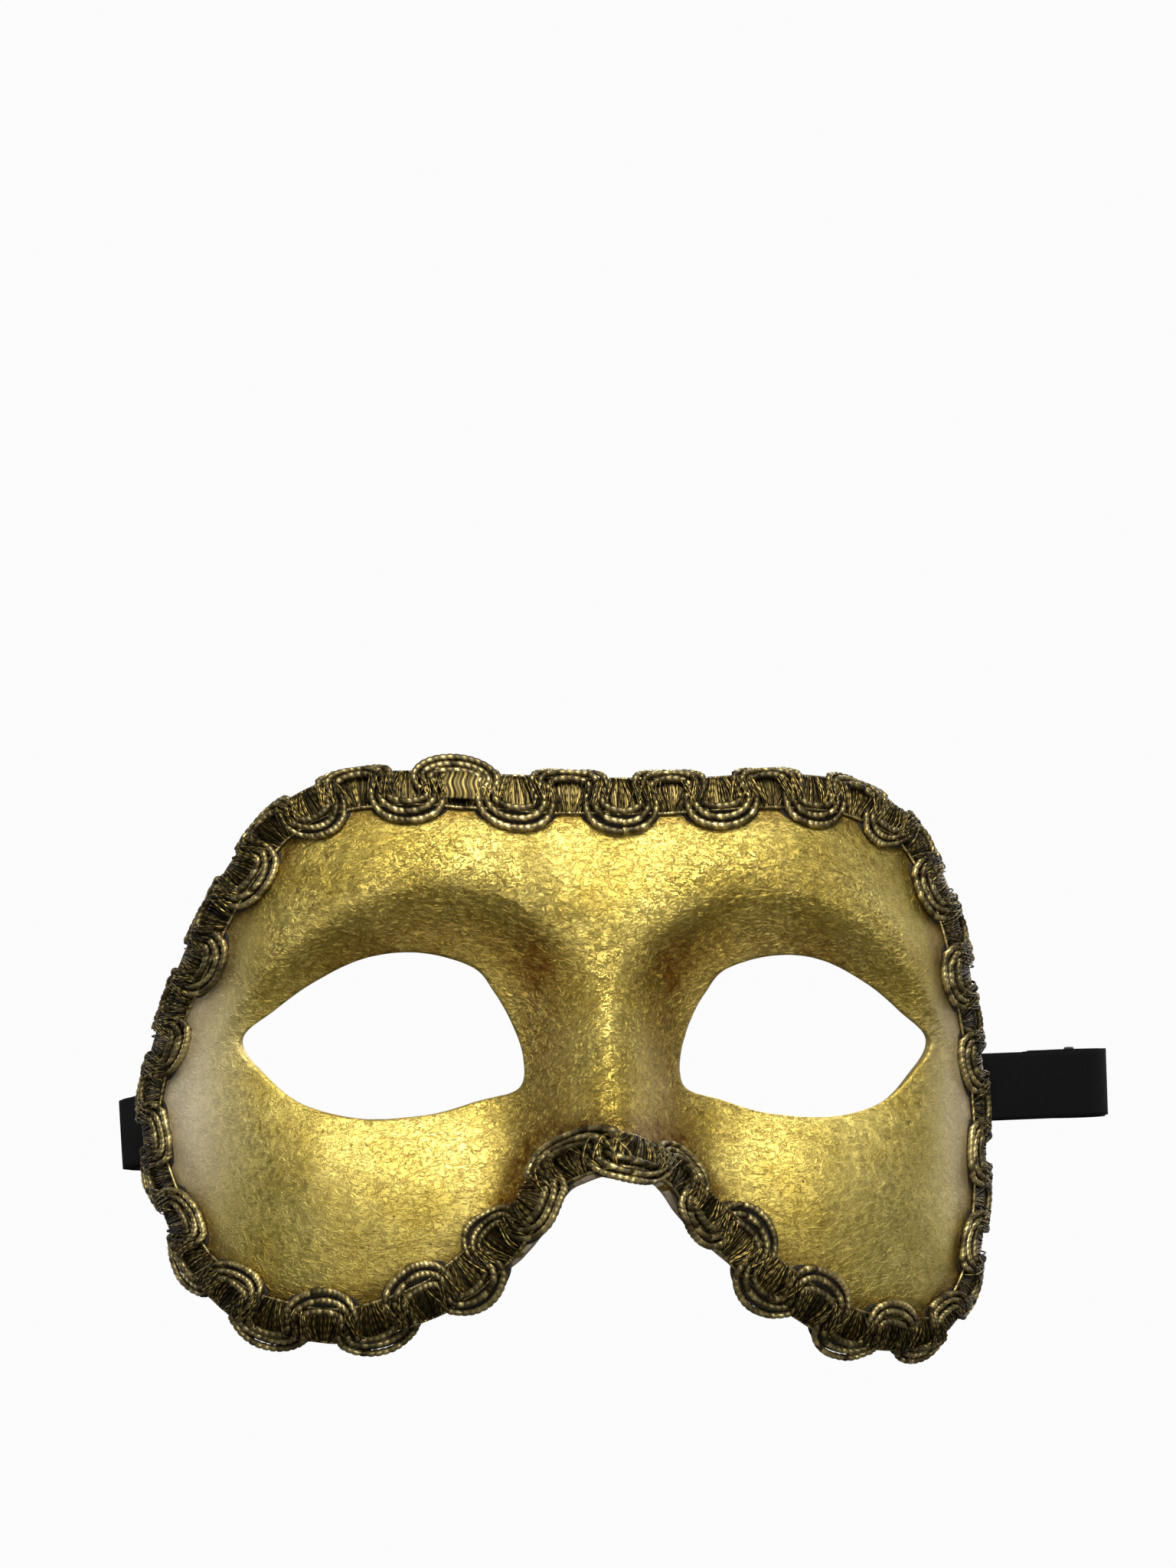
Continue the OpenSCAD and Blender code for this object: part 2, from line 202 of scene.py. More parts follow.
# %% Camera
CAMERA_TURN = math.radians(-8)
CAMERA_AWAY, CAMERA_ASIDE = 334.0, 1.8
MM = 0.001
cos_turn, sin_turn = math.cos(CAMERA_TURN), math.sin(CAMERA_TURN)
aside, ahead = Vector((cos_turn, sin_turn, 0)), Vector((-sin_turn, cos_turn, 0))
camera_data = bpy.data.cameras.new("camera")
camera = bpy.data.objects.new("camera", camera_data)
bpy.context.scene.collection.objects.link(camera)
camera.location = (aside * CAMERA_ASIDE - ahead * CAMERA_AWAY - Vector(SEAT)) * MM
camera.rotation_euler = (math.radians(90), 0, CAMERA_TURN)
camera_data.lens, camera_data.sensor_width = 44.65, 36.0
camera_data.shift_x, camera_data.shift_y = -0.0161, 0.1738
camera_data.clip_start = 0.01
bpy.context.scene.camera = camera
print("camera at", [round(v, 3) for v in camera.location])

# %% [markdown]
# ## Making meshes and materials
#
# Most pieces are sheets or tubes, which are grids of points that may close on themselves. Modifiers
# on curves could make them, but grids put every groove of a thread where it belongs. Numbers that a
# material needs, such as where a thread is wrapped with foil, are kept on the mesh's points.


# %% Grid meshes
def grid_faces(rows, columns, close_rows=False, close_columns=False):
    r = np.arange(rows if close_rows else rows - 1)[:, None]
    c = np.arange(columns if close_columns else columns - 1)[None, :]
    r2, c2 = (r + 1) % rows, (c + 1) % columns
    corners = [r * columns + c, r * columns + c2, r2 * columns + c2, r2 * columns + c]
    return np.stack([np.broadcast_to(k, (len(r), c.shape[1])).ravel() for k in corners], axis=1)


def add_piece(name, points, faces, body, node=None, marks=None, closed=True):
    """A smooth mesh from points in millimetres that rides on a body and may stand for CAD nodes."""
    mesh = bpy.data.meshes.new(name)
    mesh.from_pydata(((points.reshape(-1, 3) - SEAT) * MM).tolist(), [], faces.tolist())
    for label, values in (marks or {}).items():
        mesh.attributes.new(label, "FLOAT", "POINT").data.foreach_set("value", values.ravel())
    if closed:
        shape = bmesh.new()
        shape.from_mesh(mesh)
        bmesh.ops.recalc_face_normals(shape, faces=shape.faces)
        shape.to_mesh(mesh)
        shape.free()
    mesh.shade_smooth()
    mesh.update()
    piece = bpy.data.objects.new(name, mesh)
    bpy.context.scene.collection.objects.link(piece)
    if body:
        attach(piece, body)
    if node:
        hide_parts(*node)
    print(f"{name}: {len(mesh.vertices)} points, {len(mesh.polygons)} faces")
    return piece


def thicken(piece, thickness, offset):
    """Makes a sheet solid, with its thickness in millimetres on the side that offset says."""
    solid = piece.modifiers.new("thickness", "SOLIDIFY")
    solid.thickness, solid.offset, solid.use_even_offset = thickness * MM, offset, False


print("a grid of 3 by 3 points has", len(grid_faces(3, 3)), "faces")

# %% Colours and shader nodes
def paint(code):
    """An sRGB hex colour as linear red, green, blue and alpha."""
    srgb = [int(code[k:k + 2], 16) / 255 for k in (1, 3, 5)]
    return [v / 12.92 if v <= 0.04045 else ((v + 0.055) / 1.055) ** 2.4 for v in srgb] + [1.0]


def set_inputs(node, inputs):
    """Sets or links a node's inputs, each by its name or its number."""
    for key, value in inputs.items():
        if isinstance(value, bpy.types.NodeSocket):
            node.id_data.links.new(value, node.inputs[key])
        else:
            node.inputs[key].default_value = value


def add_node(tree, kind, inputs=None, out=0, **settings):
    """Adds a node with its settings and inputs, and hands back one of its outputs."""
    node = tree.nodes.new("ShaderNode" + kind)
    for key, value in settings.items():
        setattr(node, key, value)
    set_inputs(node, inputs or {})
    return node.outputs[out]


def new_material(name):
    """A material with only a principled shader, which is handed back with its tree."""
    material = bpy.data.materials.new(name)
    material.use_nodes = True
    return material, material.node_tree, material.node_tree.nodes["Principled BSDF"]


def coats(tree, ground, layers):
    """Lays coats over a ground colour: each has a share from 0 to 1 and a hex colour."""
    for share, code in layers:
        ground = add_node(tree, "Mix", {0: share, 6: ground, 7: paint(code)}, 2, data_type="RGBA")
    return ground


def reliefs(tree, layers):
    """Lays reliefs over each other: each has a height from 0 to 1 and its depth in millimetres."""
    under = {}
    for height, depth_mm in layers:
        bump = add_node(tree, "Bump", {"Height": height, "Distance": depth_mm * MM, **under})
        under = {"Normal": bump}
    return bump


def lengths_in_mm(tree):
    """The place on the piece, in millimetres, as the input of every pattern."""
    place = add_node(tree, "TexCoord", out="Object")
    return add_node(tree, "VectorMath", {0: place, "Scale": 1000.0}, operation="SCALE")


print("mid grey as linear light:", round(paint("#808080")[0], 3))

# %% [markdown]
# ## Gold leaf on gesso
#
# Leaf metal is a tenth of a micron thick. It has a real metal's mirror, but it lies on brushed
# gesso, so it scatters the light into a satin glow, and every crease, brush drag and pinhole of the
# ground shows through. Umber glaze, wiped off the high places, stays by the braid. The same umber is
# laid as painted shade in the eye sockets, on the sides of the nose and under the brows, and the
# temples are painted pale and less metallic, a painted reflection of the pale room. An image could
# be wrapped over the mask, but it would bring its own light. Noise with the sizes of real creases
# answers to any light.
#
# A map range node's inputs are numbered: 0 is the value, 1 and 2 the range it comes from, and 3 and
# 4 the range it goes to, which is 0 to 1 where they are left out.

# %% Gilding: its patterns
CREASE_MM, DRAG_MM, MOTTLE_MM, CLOUD_MM = 1.0, 0.6, 2.2, 14.0
PATCH_MM, SPOTS_PER_MM = 9.0, 0.75
gold, tree, shader = new_material("gold leaf, laid on brushed gesso and glazed")
place = lengths_in_mm(tree)
clouds = add_node(tree, "TexNoise", {"Vector": place, "Scale": 1 / CLOUD_MM, "Detail": 4.0,
                                     "Roughness": 0.55})
mottle = add_node(tree, "TexNoise", {"Vector": place, "Scale": 1 / MOTTLE_MM, "Detail": 5.0,
                                     "Roughness": 0.6, "Distortion": 0.6})
long_creases = add_node(tree, "VectorMath", {0: place, 1: (0.7, 1.0, 1.0)}, operation="MULTIPLY")
creases = add_node(tree, "TexNoise", {"Vector": long_creases, "Scale": 1 / CREASE_MM,
                                      "Detail": 5.0, "Roughness": 0.62, "Distortion": 1.2})
brush_way = add_node(tree, "VectorMath", {0: place, 1: (0.16, 1.0, 1.0)}, operation="MULTIPLY")
drag = add_node(tree, "TexNoise", {"Vector": brush_way, "Scale": 1 / DRAG_MM, "Detail": 3.0,
                                   "Roughness": 0.55})
from_middle = add_node(tree, "Math", {0: creases, 1: 0.5}, operation="SUBTRACT")
ridges = add_node(tree, "Math", {0: from_middle}, operation="ABSOLUTE")
spots = add_node(tree, "TexVoronoi", {"Vector": place, "Scale": SPOTS_PER_MM})
pinhole = add_node(tree, "MapRange", {0: spots, 1: 0.06, 2: 0.13, 3: 1.0, 4: 0.0})
patches = add_node(tree, "TexNoise", {"Vector": place, "Scale": 1 / PATCH_MM, "Detail": 1.0,
                                      "Roughness": 0.55})
few = add_node(tree, "MapRange", {0: patches, 1: 0.56, 2: 0.64})
print("creases", CREASE_MM, "mm and brush drags", DRAG_MM, "mm across")

# %% Gilding: its colour and relief
glaze_and_shade_mark = add_node(tree, "Attribute", out="Fac", attribute_name="glaze_and_shade")
temple_reflection_mark = add_node(tree, "Attribute", out="Fac", attribute_name="temple_reflection")
crinkled_mark = add_node(tree, "Attribute", out="Fac", attribute_name="crinkled")
wiped = add_node(tree, "MapRange", {0: mottle, 1: 0.3, 2: 0.7, 3: 0.55, 4: 1.1})
leaf = add_node(tree, "Mix", {0: add_node(tree, "MapRange", {0: clouds, 1: 0.35, 2: 0.68}),
                              6: paint("#C7B055"), 7: paint("#E9D67C")}, 2, data_type="RGBA")
leaf = coats(tree, leaf, [
    (add_node(tree, "MapRange", {0: mottle, 1: 0.38, 2: 0.66, 3: 0.35, 4: 0.0}), "#9A8238"),
    (add_node(tree, "MapRange", {0: ridges, 1: 0.0, 2: 0.035, 3: 0.55, 4: 0.0}), "#5F4A1C"),
    (add_node(tree, "Math", {0: pinhole, 1: few}, operation="MULTIPLY"), "#33240E"),
    # painted reflection: the temples paler and less metallic, as the pale room would show in them
    (temple_reflection_mark, "#D6C9AC"),
    # umber glaze by the braid, and painted shade in the sockets, on the nose sides and under the
    # brows
    (add_node(tree, "Math", {0: glaze_and_shade_mark, 1: wiped}, operation="MULTIPLY"), "#6A4A1A")])
relief = reliefs(tree, [
    (add_node(tree, "Math", {0: creases, 1: crinkled_mark}, operation="MULTIPLY"), 1.1),
    (add_node(tree, "MapRange", {0: ridges, 1: 0.0, 2: 0.05}), 0.03),
    (drag, 0.09),
    (add_node(tree, "MapRange", {0: pinhole, 1: 0.0, 2: 1.0, 3: 1.0, 4: 0.0}), 0.06)])
set_inputs(shader, {
    "Base Color": leaf,
    # less metallic at the temples, for the painted reflection
    "Metallic": add_node(tree, "MapRange", {0: temple_reflection_mark, 1: 0.0, 2: 1.0, 3: 1.0, 4: 0.2}),
    "Roughness": add_node(tree, "MapRange", {0: mottle, 1: 0.3, 2: 0.7, 3: 0.34, 4: 0.46}),
    "Normal": relief})
print("material:", gold.name)

# %% [markdown]
# ## The wrong side: wool paper and glue
#
# The back is bare papier-mache: torn wool paper soaked in glue and pressed into the mould. It dries
# matt and warm grey, with the edges of the torn pieces standing up a little and glue stains. Each
# torn piece could be a mesh of its own. Cells whose borders wander like a tear do the same with one
# pattern.

# %% Papier-mache
TORN_PIECE_MM, PULP_MM, FIBRE_MM, STAIN_MM = 18.18, 1.1, 0.5, 18.0
paper, tree, shader = new_material("papier-mache of torn wool paper, pressed and dried")
place = lengths_in_mm(tree)
wander = add_node(tree, "TexNoise", {"Vector": place, "Scale": 0.12, "Detail": 4.0}, "Color")
wander = add_node(tree, "VectorMath", {0: wander, "Scale": 9.0}, operation="SCALE")
tear_place = add_node(tree, "VectorMath", {0: place, 1: wander}, operation="ADD")
tears = add_node(tree, "TexVoronoi", {"Vector": tear_place, "Scale": 1 / TORN_PIECE_MM},
                 feature="DISTANCE_TO_EDGE")
torn = add_node(tree, "MapRange", {0: tears, 1: 0.0, 2: 0.035})
pulp = add_node(tree, "TexNoise", {"Vector": place, "Scale": 1 / PULP_MM, "Detail": 6.0,
                                   "Roughness": 0.65})
fibre_way = add_node(tree, "VectorMath", {0: place, 1: (0.25, 1.0, 1.0)}, operation="MULTIPLY")
fibre = add_node(tree, "TexNoise", {"Vector": fibre_way, "Scale": 1 / FIBRE_MM, "Detail": 4.0,
                                    "Roughness": 0.6, "Distortion": 2.0})
stains = add_node(tree, "TexNoise", {"Vector": place, "Scale": 1 / STAIN_MM, "Detail": 3.0,
                                     "Roughness": 0.55})
tone = add_node(tree, "Mix", {0: add_node(tree, "MapRange", {0: stains, 1: 0.35, 2: 0.65}),
                              6: paint("#A2947A"), 7: paint("#C4B79C")}, 2, data_type="RGBA")
tone = coats(tree, tone, [
    (add_node(tree, "MapRange", {0: pulp, 1: 0.35, 2: 0.6, 3: 0.5, 4: 0.0}), "#7B6B52"),
    (add_node(tree, "MapRange", {0: torn, 1: 0.0, 2: 1.0, 3: 0.3, 4: 0.0}), "#8A7A60")])
set_inputs(shader, {"Base Color": tone, "Roughness": 0.86,
                    "Normal": reliefs(tree, [(torn, 0.25), (pulp, 0.3), (fibre, 0.08)])})
print("material:", paper.name)

# %% [markdown]
# ## The braid's threads
#
# Gimp braid is made of cotton cords wrapped with flat foil, woven over a weft of thin bronze lame.
# The foil is bright where it turns towards the light and leaves black gaps between its turns. The
# wrap and glint mark is 1 on the foil and 0 in a gap, and the tone mark gives each turn a tone of
# its own, so colour follows the modelled turns exactly, which a pattern laid over them would not. On
# the fans of lame threads the same mark carries painted glints, bright and dark in turn along each
# thread.

# %% Foil and lame
FOIL, LAME = "cotton cord wrapped with tarnished gold foil", "bronze lame thread, woven"
THREADS = {FOIL: ("#3A2E14", "#DECA88", "#0C0A06", 0.25, 0.03),
           LAME: ("#181207", "#BFA65C", "#0E0B05", 0.3, 0.04)}
for name, (dull, bright, gap, grain_mm, grain_depth) in THREADS.items():
    material, tree, shader = new_material(name)
    wrap_and_glint_mark = add_node(tree, "Attribute", out="Fac", attribute_name="wrap_and_glint")
    tone_mark = add_node(tree, "Attribute", out="Fac", attribute_name="tone")
    turn = add_node(tree, "Mix", {0: tone_mark, 6: paint(dull), 7: paint(bright)}, 2,
                    data_type="RGBA")
    turn = add_node(tree, "Mix", {0: wrap_and_glint_mark, 6: paint(gap), 7: turn}, 2, data_type="RGBA")
    fine_grain = add_node(tree, "TexNoise", {"Vector": lengths_in_mm(tree), "Roughness": 0.55,
                                             "Scale": 1 / grain_mm, "Detail": 3.0})
    set_inputs(shader, {"Base Color": turn, "Normal": reliefs(tree, [(fine_grain, grain_depth)])})
    if name == FOIL:
        foil = material
        shiny = add_node(tree, "MapRange", {0: wrap_and_glint_mark, 1: 0.2, 2: 0.9, 3: 0.1, 4: 0.9})
        rough = add_node(tree, "MapRange", {0: tone_mark, 1: 0.0, 2: 1.0, 3: 0.5, 4: 0.28})
        set_inputs(shader, {"Metallic": shiny, "Roughness": rough})
    else:
        lame = material
        set_inputs(shader, {"Metallic": 0.85, "Roughness": 0.38})
    print("material:", name)

# %% Net behind the scrolls
NET_MESH_MM = 0.5
netting, tree, shader = new_material("black-brown cotton net, stiffened with size")
strand = add_node(tree, "TexVoronoi", {"Vector": lengths_in_mm(tree), "Scale": 1 / NET_MESH_MM},
                  feature="DISTANCE_TO_EDGE")
strand = add_node(tree, "MapRange", {0: strand, 1: 0.05, 2: 0.2})
net_colour = add_node(tree, "Mix", {0: strand, 6: paint("#2A2010"), 7: paint("#0B0906")}, 2,
                      data_type="RGBA")
set_inputs(shader, {"Base Color": net_colour, "Roughness": 0.8,
                    "Normal": reliefs(tree, [(strand, 0.1)])})
print("material:", netting.name)

# %% [markdown]
# ## Black ribbon and thread
#
# The ties are polyester grosgrain: fine ribs across the ribbon, woven edges, almost no shine. The
# ribs are about half a millimetre apart, too fine for a mesh this long, so they are relief. The run
# mark counts millimetres along the ribbon, and so the ribs stay square to it round every bend.

# %% Ribbon and thread
RIB_MM, FLUFF_MM, TWISTS = 0.55, 0.4, 9.0
grosgrain, tree, shader = new_material("black polyester grosgrain ribbon, woven")
run_mark = add_node(tree, "Attribute", out="Fac", attribute_name="run")
rib = add_node(tree, "Math", {0: run_mark, 1: 2 * math.pi / RIB_MM}, operation="MULTIPLY")
rib = add_node(tree, "Math", {0: rib}, operation="SINE")
fluff = add_node(tree, "TexNoise", {"Vector": lengths_in_mm(tree), "Scale": 1 / FLUFF_MM,
                                    "Detail": 4.0, "Roughness": 0.55})
black = add_node(tree, "Mix", {0: add_node(tree, "MapRange", {0: rib, 1: -1.0, 2: 1.0}),
                               6: paint("#030303"), 7: paint("#08080A")}, 2, data_type="RGBA")
black = coats(tree, black, [
    (add_node(tree, "MapRange", {0: fluff, 1: 0.4, 2: 0.7, 3: 0.0, 4: 0.5}), "#0D0D0F")])
set_inputs(shader, {"Base Color": black, "Roughness": 0.82, "Specular IOR Level": 0.12,
                    "Normal": reliefs(tree, [(rib, 0.05), (fluff, 0.04)])})
print("material:", grosgrain.name)

cotton, tree, shader = new_material("black waxed cotton thread, twisted")
run_mark = add_node(tree, "Attribute", out="Fac", attribute_name="run")
twist = add_node(tree, "Math", {0: run_mark, 1: TWISTS}, operation="MULTIPLY")
twist = add_node(tree, "Math", {0: twist}, operation="SINE")
yarn = add_node(tree, "Mix", {0: add_node(tree, "MapRange", {0: twist, 1: -1.0, 2: 1.0}),
                              6: paint("#0A0A0B"), 7: paint("#26262A")}, 2, data_type="RGBA")
set_inputs(shader, {"Base Color": yarn, "Roughness": 0.7,
                    "Normal": reliefs(tree, [(twist, 0.04)])})
print("material:", cotton.name)

# %% [markdown]
# ## The gilded skin
#
# The front is one sheet of points spun round each eye hole out to the edge. At the eye hole it turns
# over the cut edge to the back, as the leaf does. Broad dents from the hand and the mould and fine
# swellings of the gesso are real shape, and only creases finer than the mesh are left to bump. The
# marks tell the gilding where creases are deeper, where umber glaze stays by the braid, where shade
# is painted in the sockets, on the nose sides and under the brows, and where the temples are painted
# pale and less metallic as a painted reflection.

# %% The sheet's grid
RIM_STEPS, MID_STEPS, RINGS = 600, 144, 84
STATIONS = RIM_STEPS + MID_STEPS
EYE_TURN = [(1.8, 2.26), (0.7, 2.24), (0.28, 2.1), (0.07, 1.85), (0, 1.5), (0, 0.62), (0.06, 0.3),
            (0.24, 0.1), (0.6, 0.01)]
SKIN_START = 1.2


def loops(edge_line):
    """The eye hole, its outward direction and the half's edge, station by station."""
    rim, mid = np.linspace(0, 1, RIM_STEPS + 1), np.linspace(0, 1, MID_STEPS + 1)[1:-1]
    eye = np.concatenate([eye_out(rim * eye_out.length), eye_in(mid * eye_in.length)])
    edge = edge_line(rim * edge_line.length)
    middle = edge[-1] + (edge[0] - edge[-1]) * np.linspace(0, 1, MID_STEPS + 1)[1:, None]
    edge = np.concatenate([edge, middle])[:STATIONS]
    along = np.roll(eye, -1, axis=0) - np.roll(eye, 1, axis=0)
    along /= np.linalg.norm(along, axis=1, keepdims=True)
    return eye, np.stack([-along[:, 1], along[:, 0]], axis=1), edge


def half_sheet(edge_line, side, rings, turn, start, back, step=1):
    """Points of one half, from the turned eye edge outwards, and how far behind the front."""
    eye, out, edge = (part[::step] for part in loops(edge_line))
    share = np.linspace(0, 1, rings + 1)[:, None, None]
    flat = (1 - share) * (eye + start * out) + share * edge
    behind = np.full(flat.shape[:2], back)
    if turn:
        turned = np.stack([eye + gap * out for gap, _ in turn])
        flat = np.concatenate([turned, flat])
        behind = np.concatenate([np.array([[h] for _, h in turn]) * np.ones(len(eye)), behind])
    return flat * [side, 1], behind


def whole_sheet(rings, turn, start, back, step=1):
    """Both halves, sewn together up the middle of the face."""
    right, behind = half_sheet(right_line, 1, rings, turn, start, back, step)
    left, _ = half_sheet(left_line, -1, rings, turn, start, back, step)
    rows, stations = right.shape[:2]
    number = np.arange(rows * stations).reshape(rows, stations)
    other = number + rows * stations
    rim = RIM_STEPS // step
    other[-1, rim:], other[-1, 0] = number[-1, rim:], number[-1, 0]
    quads = grid_faces(rows, stations, close_columns=True)
    faces = np.concatenate([quads, other.ravel()[quads][:, ::-1]])
    used, faces = np.unique(faces, return_inverse=True)
    flat = np.concatenate([right.reshape(-1, 2), left.reshape(-1, 2)])[used]
    behind = np.concatenate([behind.ravel(), behind.ravel()])[used]
    return flat, behind, faces.reshape(-1, 4)


def swellings(points, size, height):
    """Smooth random height for each point, in patches of the given size."""
    return np.array([noise.noise(Vector(p) / size) for p in points.tolist()]) * height


print("stations round each half:", STATIONS)

# %% Where a hand has worked the skin, and where shade and a reflection are painted
flat, behind, faces = whole_sheet(RINGS, EYE_TURN, SKIN_START, 0.0)
s, z = np.abs(flat[:, 0]), flat[:, 1]
under_brow = bell(z - (27 - 0.018 * (s - 28) ** 2), 9) * (1 - ease(50, 66, s))
on_nose = bell(s, 15) * (1 - ease(14, 24, z))
crinkled = 0.25 + 0.75 * np.maximum(under_brow, on_nose) * (1 - ease(60, 70, s))
edge_points = np.concatenate([right_line.flat, left_line.flat * MIRROR])
to_edge = np.full(len(flat), np.inf)
for p in edge_points[::3]:
    to_edge = np.minimum(to_edge, np.hypot(*(flat - p).T))
# Painted reflection: the leaf at the temples is made pale and less metallic.
temple_reflection = 0.8 * ease(57, 73, s) * ease(-40, -10, z) * (1 - 0.7 * ease(14, 34, z))
# Painted shade: darker glaze in the eye sockets, on the sides of the nose and just under the brows.
socket_shade = socket(s, z) / SOCKET_D * ease(6, 22, z)
nose_side_shade = bell(s - 11, 6) * (1 - ease(14, 26, z))
shade = bell(z - (22 - 0.02 * (s - 26) ** 2), 6) * ease(5, 15, s) * (1 - ease(42, 62, s))
by_braid = 0.75 * bell(np.maximum(to_edge - 6.5, 0), 2.2) * (1 - 0.9 * temple_reflection)
# The glaze mark holds both the real umber glaze by the braid and the painted shade.
glaze_and_shade = np.clip(by_braid + 0.75 * socket_shade + 0.75 * nose_side_shade + 0.5 * shade, 0, 1)
print(f"mean glaze {glaze_and_shade.mean():.2f}, mean wear {temple_reflection.mean():.2f}, from 0 to 1")

# %% The gilded skin
LEAF_T = 0.25
skin = skin_point(flat[:, 0], flat[:, 1])
hand = swellings(skin, 11.0, 0.35) + swellings(skin + 50, 3.2, 0.07)
fine = swellings(skin * [0.7, 1.0, 1.0], 1.3, 0.18) * crinkled
on_front = ease(2.0, 0.0, behind)
lift = behind + (hand + fine) * on_front
skin = skin + back_normal(flat[:, 0], flat[:, 1]) * lift[:, None]
gilding = add_piece("gilded_skin", skin, faces, "mask", ["gilded_gesso"],
                    {"glaze_and_shade": glaze_and_shade, "temple_reflection": temple_reflection, "crinkled": crinkled}, closed=False)
thicken(gilding, LEAF_T, -1.0)
gilding.data.materials.append(gold)

# %% The papier-mache behind it
BACK, PAPER_BODY_T = SHELL_T - 0.08, 1.5
flat, behind, faces = whole_sheet(40, [], 0.4, BACK, step=2)
pulp_points = skin_point(flat[:, 0], flat[:, 1], BACK)
normals = back_normal(flat[:, 0], flat[:, 1])
lumps = swellings(pulp_points, 6.0, 0.25) + swellings(pulp_points, 1.8, 0.12)
pulp_points = pulp_points + normals * lumps[:, None]
body = add_piece("papier_mache", pulp_points, faces, "mask", ["paper_shell"],
                 closed=False)
thicken(body, PAPER_BODY_T, 1.0)
body.data.materials.append(paper)

# %% [markdown]
# ## Places along the edge
#
# The braid is drawn flat, as a tape: l runs along the mask's edge, w in from it and h up from the
# gold. One rule lays the tape on the mask. Past the edge, the forehead's scrolls fold round to the
# back, and the cheeks' scrolls stand straight out. Bending a finished braid with a curve modifier
# would stretch it at every corner, so the rule is worked out point by point.

# %% Laying the tape on the mask
FOLD_LOW, FOLD_TOP = -14, 12


def rim_flat(l):
    m = np.mod(l, RIM_L)
    mirrored = left_line(RIM_L - m) * MIRROR
    return np.where((m <= right_line.length)[..., None], right_line(m), mirrored)


def braid_point(l, w, h):
    l, w, h = np.broadcast_arrays(*(np.asarray(v, float) for v in (l, w, h)))
    p = rim_flat(l)
    d = rim_flat(l + 1.5) - rim_flat(l - 1.5)
    d /= np.linalg.norm(d, axis=-1, keepdims=True)
    b = np.stack([d[..., 1], -d[..., 0]], axis=-1)
    q = p + 4 * b
    rise = [depth(*np.moveaxis(q + k * PROBE * b, -1, 0)) for k in (1, -1)]
    shorter = 1 / np.sqrt(1 + ((rise[0] - rise[1]) / (2 * PROBE)) ** 2)
    on = p + (shorter * np.maximum(w, 0))[..., None] * b
    flat_place = skin_point(on[..., 0], on[..., 1], -h)
    edge, n = skin_point(p[..., 0], p[..., 1]), back_normal(p[..., 0], p[..., 1])
    inward = skin_point(p[..., 0] + b[..., 0], p[..., 1] + b[..., 1]) - edge
    inward /= np.linalg.norm(inward, axis=-1, keepdims=True)
    bend = np.maximum(ease(FOLD_LOW, FOLD_TOP, p[..., 1]) / (SHELL_T / 2 + h), 0.001)
    turned = (bend * np.maximum(-w, 0))[..., None]
    bend = bend[..., None]
    past = (edge - h[..., None] * n - inward * np.sin(turned) / bend
            + n * (1 - np.cos(turned)) / bend)
    return np.where((w < 0)[..., None], past, flat_place)


print("top of the edge, on the tape at 0:", braid_point(0, 0, 0).round(1), "mm")

# %% [markdown]
# ## The cut edge
#
# The leaf is carried over the cut edge of the mask before the braid goes on, so gold shows behind
# the scrolls that stand out past it.

# %% Gilded edge
EDGE_TURN = [(2.0, 0.04), (0.5, 0.05), (0.06, -0.2), (0.02, -0.6), (0.02, -1.6), (0.1, -2.05),
             (0.5, -2.3), (1.6, -2.32), (1.7, -2.1), (0.5, -2.0), (0.35, -1.2), (0.5, -0.2)]
EDGE_RINGS = 900
l = np.linspace(0, RIM_L, EDGE_RINGS, endpoint=False)[:, None]
turn = np.array(EDGE_TURN)
points = braid_point(l, turn[None, :, 0], turn[None, :, 1])
points = points + 0.06 * np.sin(l * 1.7 + np.sin(l * 0.31) * 4)[..., None]
faces = grid_faces(EDGE_RINGS, len(turn), True, True)
edge_gilding = add_piece("gilded_cut_edge", points, faces[:, ::-1], "mask",
                         marks={"glaze_and_shade": np.full(len(points) * len(turn), 0.8),
                                "crinkled": np.full(len(points) * len(turn), 0.4)})
edge_gilding.data.materials.append(gold)

# %% [markdown]
# ## The braid
#
# Three wrapped cords run side by side in an S, from a scroll on the inner edge of the band to one
# on the outer edge and back. Between the scrolls lie fans of thin bronze threads, and a small
# beaded cord runs along each side of the band. Bump on a plain band would look flat from the side,
# so all of it is real geometry: each cord is a tube whose skin is grooved across, a little aslant,
# where one turn of foil meets the next.

# %% The run of the scrolls
SCROLLS, SCROLL_A, OVERHANG, SHOULDER, TIP, FAN_OUT = 27, 4.8, 2.4, 0.2, 0.5, 0.3
LAID_ON = [[0, 190, 275, 350, 545], [3, -6, 0, 5, 3]]
BAND_W, BAND_T, GLUE = 6.6, 0.7, 0.15
CORD_D, CORD_STEP = 1.2, 1.35
BAND_MID, SCROLL_IN = 3.0, 0.2
SCROLL_L = RIM_L / SCROLLS
# Real foil turns more closely than this. It is drawn coarser, so that the turns can be seen.
WRAP_MM = 1.2
rng = np.random.default_rng(11)
print(f"{SCROLLS} scrolls, {SCROLL_L:.1f} mm apart")


def laid(l):
    """Where a length of braid comes to lie: it is pushed on or stretched as it is glued."""
    return l + np.interp(np.mod(l, RIM_L), *LAID_ON)


def scroll_mid(a):
    """The middle cord's place in the tape after a turn of a radians."""
    along = SCROLL_L * a / (2 * math.pi) + OVERHANG * np.sin(2 * a) + SHOULDER * np.sin(4 * a)
    return np.stack([along, SCROLL_A * np.cos(a) + TIP * (np.cos(3 * a) - np.cos(a))], axis=-1)


